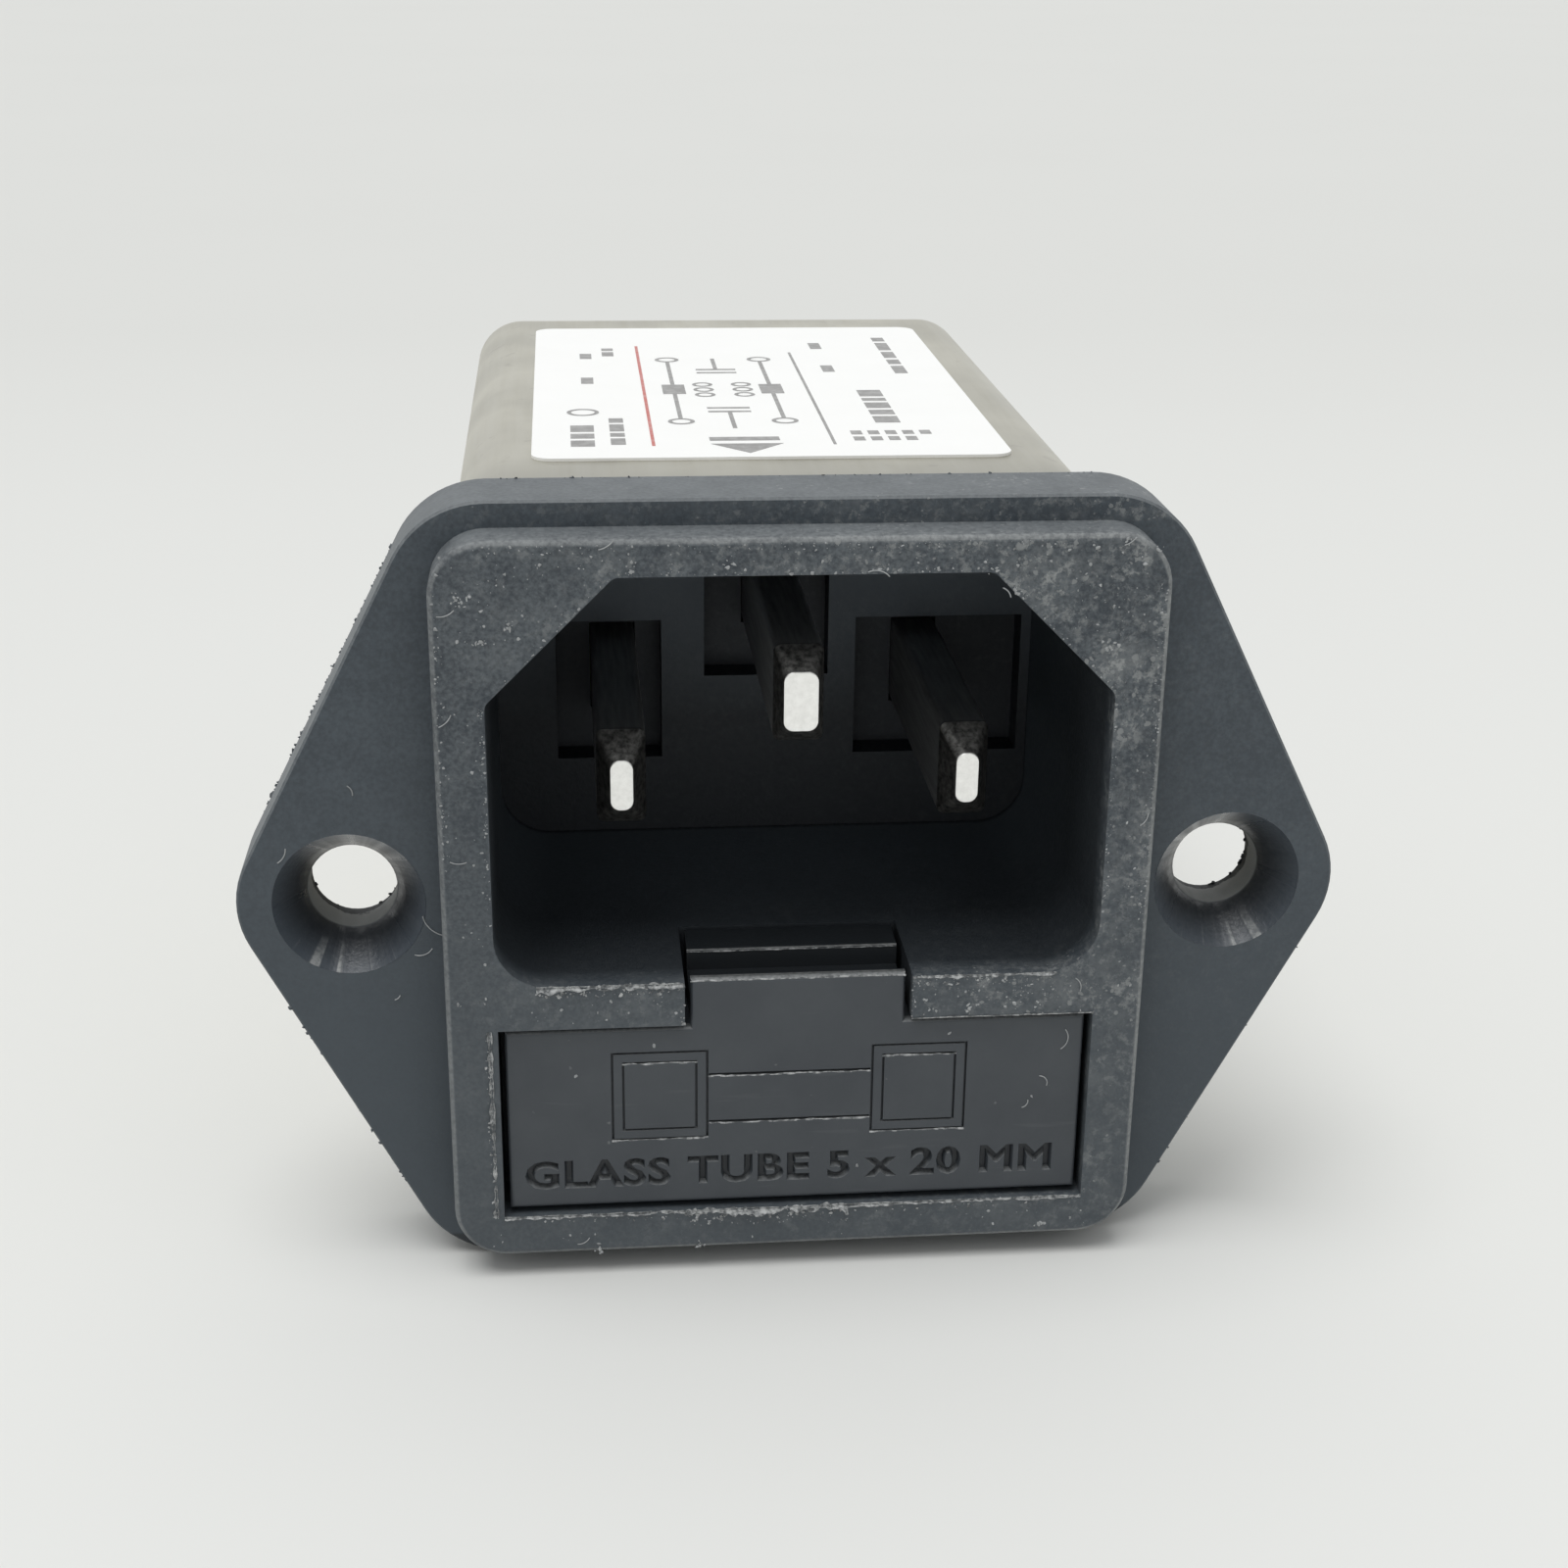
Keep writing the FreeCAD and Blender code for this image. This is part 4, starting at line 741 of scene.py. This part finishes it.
caught = bmesh.new()
add_hairs(caught, PLATE_Y, (
    (11.0, -6.7, 0.6, 100, 60), (10.5, -8.4, 0.35, 110, 20), (9.5, -9.4, 0.3, 90, 80),
))
for x, z in ((-9.1, -7.2), (-5.9, -5.9), (6.3, -5.8), (2.6, -11.9), (9.9, -8.9)):
    add_crumb(caught, Vector((x * MM, PLATE_Y, z * MM)), 0.07 * MM)
finished_piece(caught, "drawer_dust", "drawer", dust_finish, CRUMB_CREASE)


# Cartridge fuse
# A clear glass tube with two nickel-plated brass caps and a thin tinned element soldered between them.
# It lies in the drawer's cradle with its caps free for the clips.

glass_finish, glass_tree, glass_shader, glass_place = new_finish("fuse_glass")
glass_shader.inputs["Base Color"].default_value = (0.93, 0.96, 0.95, 1)
glass_shader.inputs["Transmission Weight"].default_value = 1.0
glass_shader.inputs["IOR"].default_value = 1.5
smear = mottle(glass_tree, glass_place, 500, 3.0)
glass_tree.links.new(reach(glass_tree, smear, 0.4, 0.7, 0.02, 0.12), glass_shader.inputs["Roughness"])


def plated_metal(name, low, high, rough_low, rough_high, clouds):
    """Plated metal with a cloudy bloom and fine pits."""
    finish, tree, shader, place = new_finish(name)
    bloom = mottle(tree, place, clouds, 4.0)
    pits = mottle(tree, place, 8 * clouds, 3.0)
    tree.links.new(tint(tree, reach(tree, bloom, 0.3, 0.7), low, high), shader.inputs["Base Color"])
    tree.links.new(reach(tree, pits, 0.3, 0.7, rough_low, rough_high), shader.inputs["Roughness"])
    shader.inputs["Metallic"].default_value = 1.0
    relief(tree, shader, pits, 0.006 * MM, 0.4)
    return finish


cap_finish = plated_metal("fuse_cap_plate", (0.62, 0.60, 0.57, 1), (0.78, 0.77, 0.74, 1), 0.2, 0.34, 400)
element_finish = plated_metal("fuse_wire", (0.58, 0.57, 0.54, 1), (0.7, 0.69, 0.66, 1), 0.3, 0.4, 900)
glass = finished_piece(joined_copy("fuse_glass"), "fuse_tube", "drawer", glass_finish, 30)
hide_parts("fuse_glass")
for side in ("left", "right"):
    cap_shape = joined_copy("fuse_cap_" + side)
    cap = finished_piece(cap_shape, side + "_fuse_cap", "drawer", cap_finish, 30)
    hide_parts("fuse_cap_" + side)
element = finished_piece(joined_copy("fuse_wire"), "fuse_element", "drawer", element_finish, 30)
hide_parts("fuse_wire")


# Fuse clips
# Phosphor bronze spring strip, bent to a jaw and soldered to the board. Handling leaves it cloudy.

def refinish(node_names, finish):
    """Gives a finish to nodes that keep their own shape."""
    for node_name in node_names:
        materials = frame["nodes"][node_name].data.materials
        materials.clear()
        materials.append(finish)


clip_finish = plated_metal("clip_bronze", (0.5, 0.37, 0.2, 1), (0.66, 0.53, 0.33, 1), 0.28, 0.45, 350)
refinish(("line_fuse_clip", "load_fuse_clip"), clip_finish)


# Filter parts inside the can
# Paper-laminate board, ring choke wound with enamelled wire, boxed and disc capacitors, a lacquered
# resistor and the folded film. They are closed in by the can, so plain cloudy finishes are enough.

def cloudy(name, low, high, rough, clouds, metal=0.0):
    """A finish that wanders between two colours, with a little relief."""
    finish, tree, shader, place = new_finish(name)
    cloud = mottle(tree, place, clouds, 4.0)
    tree.links.new(tint(tree, reach(tree, cloud, 0.32, 0.68), low, high), shader.inputs["Base Color"])
    shader.inputs["Roughness"].default_value = rough
    shader.inputs["Metallic"].default_value = metal
    relief(tree, shader, cloud, 0.02 * MM, 0.4)
    return finish


inner_finishes = (
    (("filter_board",), cloudy("board_laminate", (0.17, 0.22, 0.09, 1), (0.23, 0.29, 0.13, 1), 0.5, 700)),
    (("choke_foot", "insulating_liner"),
     cloudy("liner_film", (0.56, 0.54, 0.44, 1), (0.66, 0.64, 0.54, 1), 0.4, 300)),
    (("choke_core",), cloudy("ferrite", (0.05, 0.06, 0.06, 1), (0.09, 0.1, 0.1, 1), 0.45, 900)),
    (("choke_winding_line", "choke_winding_neutral"),
     cloudy("enamelled_copper", (0.42, 0.16, 0.06, 1), (0.58, 0.28, 0.12, 1), 0.28, 500, 0.9)),
    (("x_capacitor",), cloudy("x_cap_case", (0.62, 0.46, 0.08, 1), (0.72, 0.56, 0.14, 1), 0.45, 400)),
    (("y_capacitor_line", "y_capacitor_neutral"),
     cloudy("y_cap_coat", (0.06, 0.2, 0.45, 1), (0.12, 0.29, 0.55, 1), 0.3, 600)),
    (("bleed_resistor",), cloudy("resistor_body", (0.5, 0.42, 0.31, 1), (0.6, 0.52, 0.4, 1), 0.4, 700)),
    (("earth_strap",),
     plated_metal("strap_plate", (0.56, 0.55, 0.52, 1), (0.7, 0.69, 0.66, 1), 0.3, 0.42, 300)),
)
for node_names, finish in inner_finishes:
    refinish(node_names, finish)


# Screening can
# Tin-plated sheet steel, drawn in one pull and snapped over four barbs of the housing. The tin has
# gone dull and a little warm, with drawing streaks along its length.

def tinned_sheet():
    """Dull warm tin plate with streaks along the draw and a few rubbed spots."""
    finish, tree, shader, place = new_finish("can_tinplate")
    draw = add_node(tree, "ShaderNodeMapping", {"Vector": place, "Scale": (1.0, 0.05, 1.0)}).outputs[0]
    streaks = mottle(tree, draw, 1500, 4.0)
    bloom = mottle(tree, place, 160, 5.0)
    spots = reach(tree, mottle(tree, place, 900, 3.0), 0.64, 0.7)
    plate = tint(tree, reach(tree, bloom, 0.3, 0.7), (0.43, 0.412, 0.345, 1), (0.57, 0.552, 0.482, 1))
    streaked = tint(tree, reach(tree, streaks, 0.3, 0.75, 0.0, 0.35), plate, (0.64, 0.63, 0.58, 1))
    dulled = tint(tree, sum_up(tree, "MULTIPLY", spots, 0.35), streaked, (0.36, 0.34, 0.3, 1))
    length = add_node(tree, "ShaderNodeSeparateXYZ", {"Vector": place}).outputs["Y"]
    # Painted shade: the tin is painted darker near the flange, where the flange shades it.
    painted_flange_shade = reach(tree, length, 3.5 * MM, 8.5 * MM, 0.55, 0.0)
    dulled = tint(tree, painted_flange_shade, dulled, (0.34, 0.33, 0.29, 1))
    tree.links.new(dulled, shader.inputs["Base Color"])
    shader.inputs["Metallic"].default_value = 1.0
    tree.links.new(reach(tree, bloom, 0.3, 0.7, 0.36, 0.5), shader.inputs["Roughness"])
    relief(tree, shader, sum_up(tree, "ADD", streaks, bloom), 0.01 * MM, 0.4)
    return finish


can = finished_piece(joined_copy("shield_can"), "can", "module", tinned_sheet(), 35)
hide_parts("shield_can")


# Label
# A white film label stuck on the roof of the can, printed in grey with one red rule. The print here is
# plain bars for the lines of text and a generic filter diagram with an arrow towards the inlet.

label_finish, label_tree, label_shader, label_place = new_finish("label_film")
label_cloud = mottle(label_tree, label_place, 260, 3.0)
label_white = tint(label_tree, label_cloud, (0.90, 0.90, 0.88, 1), (0.94, 0.94, 0.925, 1))
label_tree.links.new(label_white, label_shader.inputs["Base Color"])
label_shader.inputs["Roughness"].default_value = 0.45
relief(label_tree, label_shader, mottle(label_tree, label_place, 1800, 3.0), 0.01 * MM, 0.3)
label = finished_piece(joined_copy("rating_label"), "label", "module", label_finish, 30)
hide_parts("rating_label")

LABEL_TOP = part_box("rating_label")[1].z
INK = 0.012 * MM
WORD_GAP = 0.35


def add_ink(solid, corners):
    """A printed patch with its corners given in millimetres across and along the label."""
    ring = [solid.verts.new((x * MM, y * MM, LABEL_TOP)) for x, y in corners]
    patch = solid.faces.new(ring)
    grown = bmesh.ops.extrude_face_region(solid, geom=[patch])
    top = [item for item in grown["geom"] if isinstance(item, bmesh.types.BMVert)]
    bmesh.ops.translate(solid, verts=top, vec=(0, 0, INK))


def add_bar(solid, x_low, x_high, y_low, y_high):
    """A printed bar."""
    add_ink(solid, ((x_low, y_low), (x_high, y_low), (x_high, y_high), (x_low, y_high)))


def add_ring(solid, x, y, radius, line):
    """A printed circle."""
    hoop = bmesh.ops.create_circle(solid, segments=24, radius=radius * MM)["verts"]
    edges = list({edge for vert in hoop for edge in vert.link_edges})
    grown = bmesh.ops.extrude_edge_only(solid, edges=edges)
    inner = [item for item in grown["geom"] if isinstance(item, bmesh.types.BMVert)]
    share = (radius - line) / radius
    bmesh.ops.scale(solid, verts=inner, vec=(share, share, 1))
    bmesh.ops.translate(solid, verts=hoop + inner, vec=(x * MM, y * MM, LABEL_TOP + INK))


def add_text_bars(solid, x_low, x_high, y_low, y_high, words):
    """A line of print that runs along the label, as bars of uneven length."""
    step = (y_high - y_low) / sum(length + WORD_GAP for length in words)
    y = y_low
    for length in words:
        add_bar(solid, x_low, x_high, y, y + length * step)
        y += (length + WORD_GAP) * step


def ink(name, colour):
    """Printing ink that is a little uneven."""
    finish, tree, shader, place = new_finish(name)
    cover = reach(tree, mottle(tree, place, 2600, 3.0), 0.25, 0.6, 0.7, 1.0)
    tree.links.new(tint(tree, cover, (0.7, 0.7, 0.69, 1), colour), shader.inputs["Base Color"])
    shader.inputs["Roughness"].default_value = 0.5
    return finish


grey_print = bmesh.new()
add_bar(grey_print, 2.78, 2.92, 9.6, 31.0)
add_ink(grey_print, ((-2.6, 9.9), (-1.0, 8.1), (0.6, 9.9)))
add_text_bars(grey_print, -8.7, -7.65, 9.6, 14.2, (1.0, 0.8, 1.1))
add_text_bars(grey_print, -6.95, -6.3, 9.9, 15.6, (1.2, 0.7, 1.4, 0.9))
add_ring(grey_print, -8.1, 16.6, 0.75, 0.2)
add_text_bars(grey_print, -8.1, -7.5, 23.2, 25.2, (1.0,))
add_text_bars(grey_print, -8.1, -7.5, 29.6, 31.4, (1.0,))
add_text_bars(grey_print, -6.95, -6.35, 30.3, 32.8, (1.0, 0.6))
for row_y, row_words in ((10.3, 4), (11.5, 5)):
    for place_in_row in range(row_words):
        x = 3.8 + 0.78 * place_in_row
        add_bar(grey_print, x, x + 0.5, row_y, row_y + 0.75)
add_text_bars(grey_print, 5.2, 6.35, 13.9, 21.6, (1.1, 0.8, 1.0, 0.5, 1.2))
add_text_bars(grey_print, 4.1, 4.7, 25.8, 28.0, (1.0,))
add_text_bars(grey_print, 4.1, 4.7, 32.0, 34.2, (1.0,))
add_text_bars(grey_print, 7.7, 8.35, 25.3, 35.6, (1.3, 0.8, 1.1, 1.4, 0.7))
for rail_x in (-3.65, 1.1):
    add_ring(grey_print, rail_x, 14.5, 0.62, 0.2)
    add_bar(grey_print, rail_x - 0.1, rail_x + 0.1, 15.1, 20.6)
    add_bar(grey_print, rail_x - 0.55, rail_x + 0.55, 20.6, 22.8)
    add_bar(grey_print, rail_x - 0.1, rail_x + 0.1, 22.8, 28.6)
    add_ring(grey_print, rail_x, 29.2, 0.62, 0.2)
for coil_y in (20.4, 21.6, 22.8):
    add_ring(grey_print, -2.2, coil_y, 0.5, 0.18)
    add_ring(grey_print, -0.3, coil_y, 0.5, 0.18)
for plate_y in (16.4, 17.2, 25.6, 26.4):
    add_bar(grey_print, -2.3, -0.3, plate_y, plate_y + 0.3)
add_bar(grey_print, -1.4, -1.2, 13.0, 16.4)
add_bar(grey_print, -1.4, -1.2, 26.7, 29.4)
add_bar(grey_print, -2.6, 0.5, 10.5, 11.2)
grey_ink = ink("grey_ink", (0.27, 0.265, 0.26, 1))
finished_piece(grey_print, "label_grey_print", "module", grey_ink, 30)
red_print = bmesh.new()
add_bar(red_print, -5.18, -5.03, 9.6, 33.0)
red_ink = ink("red_ink", (0.52, 0.14, 0.12, 1))
finished_piece(red_print, "label_red_rule", "module", red_ink, 30)


# Terminal base
# A black nylon block that passes through a window in the can and keeps the two load tabs off the metal.

base_finish = cloudy("base_nylon", (0.024, 0.026, 0.03, 1), (0.04, 0.043, 0.047, 1), 0.55, 900)
base_piece = finished_piece(joined_copy("terminal_base"), "base", "module", base_finish, 35)
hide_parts("terminal_base")


# Blade tabs and rivet
# Stamped brass blades with tin plate for push-on receptacles, two for the load and one for the earth.
# The earth blade's foot is held to the can by one steel rivet with a coned head.

tab_finish = plated_metal("tab_plate", (0.50, 0.485, 0.44, 1), (0.64, 0.625, 0.58, 1), 0.2, 0.34, 260)
rivet_finish = plated_metal("rivet_steel", (0.5, 0.5, 0.48, 1), (0.64, 0.64, 0.62, 1), 0.24, 0.36, 320)
for node_name in ("line_load_tab", "neutral_load_tab", "earth_tab"):
    tab = finished_piece(joined_copy(node_name), node_name + "_blade", "module", tab_finish, 30)
    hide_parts(node_name)
rivet = finished_piece(joined_copy("earth_rivet"), "rivet", "module", rivet_finish, 30)
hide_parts("earth_rivet")


# Floor, light and camera
# A pale seamless floor under a large soft lamp from above and a little to the left, seen from in front
# and a hand's breadth above.

FLOOR_HALF = 3.0
FLOOR_BACK = 1.5
floor_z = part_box("inlet_housing")[0].z
ground = bmesh.new()
bmesh.ops.create_grid(ground, x_segments=1, y_segments=1, size=FLOOR_HALF,
                      matrix=Matrix.Translation((0, FLOOR_BACK, floor_z)))
floor_mesh = bpy.data.meshes.new("floor")
ground.to_mesh(floor_mesh)
ground.free()
floor = bpy.data.objects.new("floor", floor_mesh)
bpy.context.collection.objects.link(floor)
floor_finish, floor_tree, floor_shader, floor_place = new_finish("pale_floor")
# Painted light: the floor is painted lighter in front of the object and darker far behind it, with a faint
# random mottle.
floor_depth = add_node(floor_tree, "ShaderNodeSeparateXYZ", {"Vector": floor_place}).outputs["Y"]
floor_share = sum_up(floor_tree, "ADD", reach(floor_tree, floor_depth, -0.09, 0.22, 0.0, 0.9),
                     sum_up(floor_tree, "MULTIPLY", mottle(floor_tree, floor_place, 12, 2.0), 0.1))
floor_tone = tint(floor_tree, floor_share, (0.80, 0.803, 0.782, 1), (0.67, 0.672, 0.65, 1))
floor_tree.links.new(floor_tone, floor_shader.inputs["Base Color"])
floor_shader.inputs["Roughness"].default_value = 0.9
floor_shader.inputs["Specular IOR Level"].default_value = 0.1
floor_mesh.materials.append(floor_finish)

SKY_SEEN = 0.85
SKY_LOW = 0.28
SKY_HIGH = 0.7
world = bpy.data.worlds.new("studio")
world.use_nodes = True
sky_tree = world.node_tree
backdrop = sky_tree.nodes["Background"]
rays = add_node(sky_tree, "ShaderNodeLightPath", {}).outputs
seen = sum_up(sky_tree, "MAXIMUM", rays["Is Camera Ray"], rays["Is Glossy Ray"], rays["Is Transmission Ray"])
sky_way = add_node(sky_tree, "ShaderNodeTexCoord", {}).outputs["Generated"]
sky_rise = add_node(sky_tree, "ShaderNodeSeparateXYZ", {"Vector": sky_way}).outputs["Z"]
sky = reach(sky_tree, sky_rise, 0.0, 0.9, SKY_LOW, SKY_HIGH)
sky_tree.links.new(between(sky_tree, seen, sky, SKY_SEEN), backdrop.inputs["Strength"])
backdrop.inputs["Color"].default_value = (0.98, 0.995, 1.0, 1)
bpy.context.scene.world = world

LAMP_WAY = Vector((0.2, 0.16, -1.0))
lamp_data = bpy.data.lights.new("soft_lamp", "SUN")
lamp_data.energy = 1.65
lamp_data.angle = math.radians(40)
lamp = bpy.data.objects.new("soft_lamp", lamp_data)
bpy.context.collection.objects.link(lamp)
lamp.rotation_euler = LAMP_WAY.to_track_quat("-Z", "Y").to_euler()

CAMERA_PLACE = Vector((-8.897, -88.288, 37.969)) * MM
CAMERA_TURN = math.radians(5.641)
CAMERA_DIP = math.radians(21.317)
CAMERA_ROLL = math.radians(0.718)
CAMERA_LENS = 52.37
camera_data = bpy.data.cameras.new("camera")
camera_data.sensor_width = 36.0
camera_data.lens = CAMERA_LENS
camera_data.clip_start = 0.001
camera = bpy.data.objects.new("camera", camera_data)
bpy.context.collection.objects.link(camera)
camera.matrix_world = (Matrix.Translation(CAMERA_PLACE) @ Matrix.Rotation(-CAMERA_TURN, 4, "Z")
                       @ Matrix.Rotation(math.pi / 2 - CAMERA_DIP, 4, "X")
                       @ Matrix.Rotation(CAMERA_ROLL, 4, "Z"))
bpy.context.scene.camera = camera
bpy.context.scene.view_settings.view_transform = "Standard"
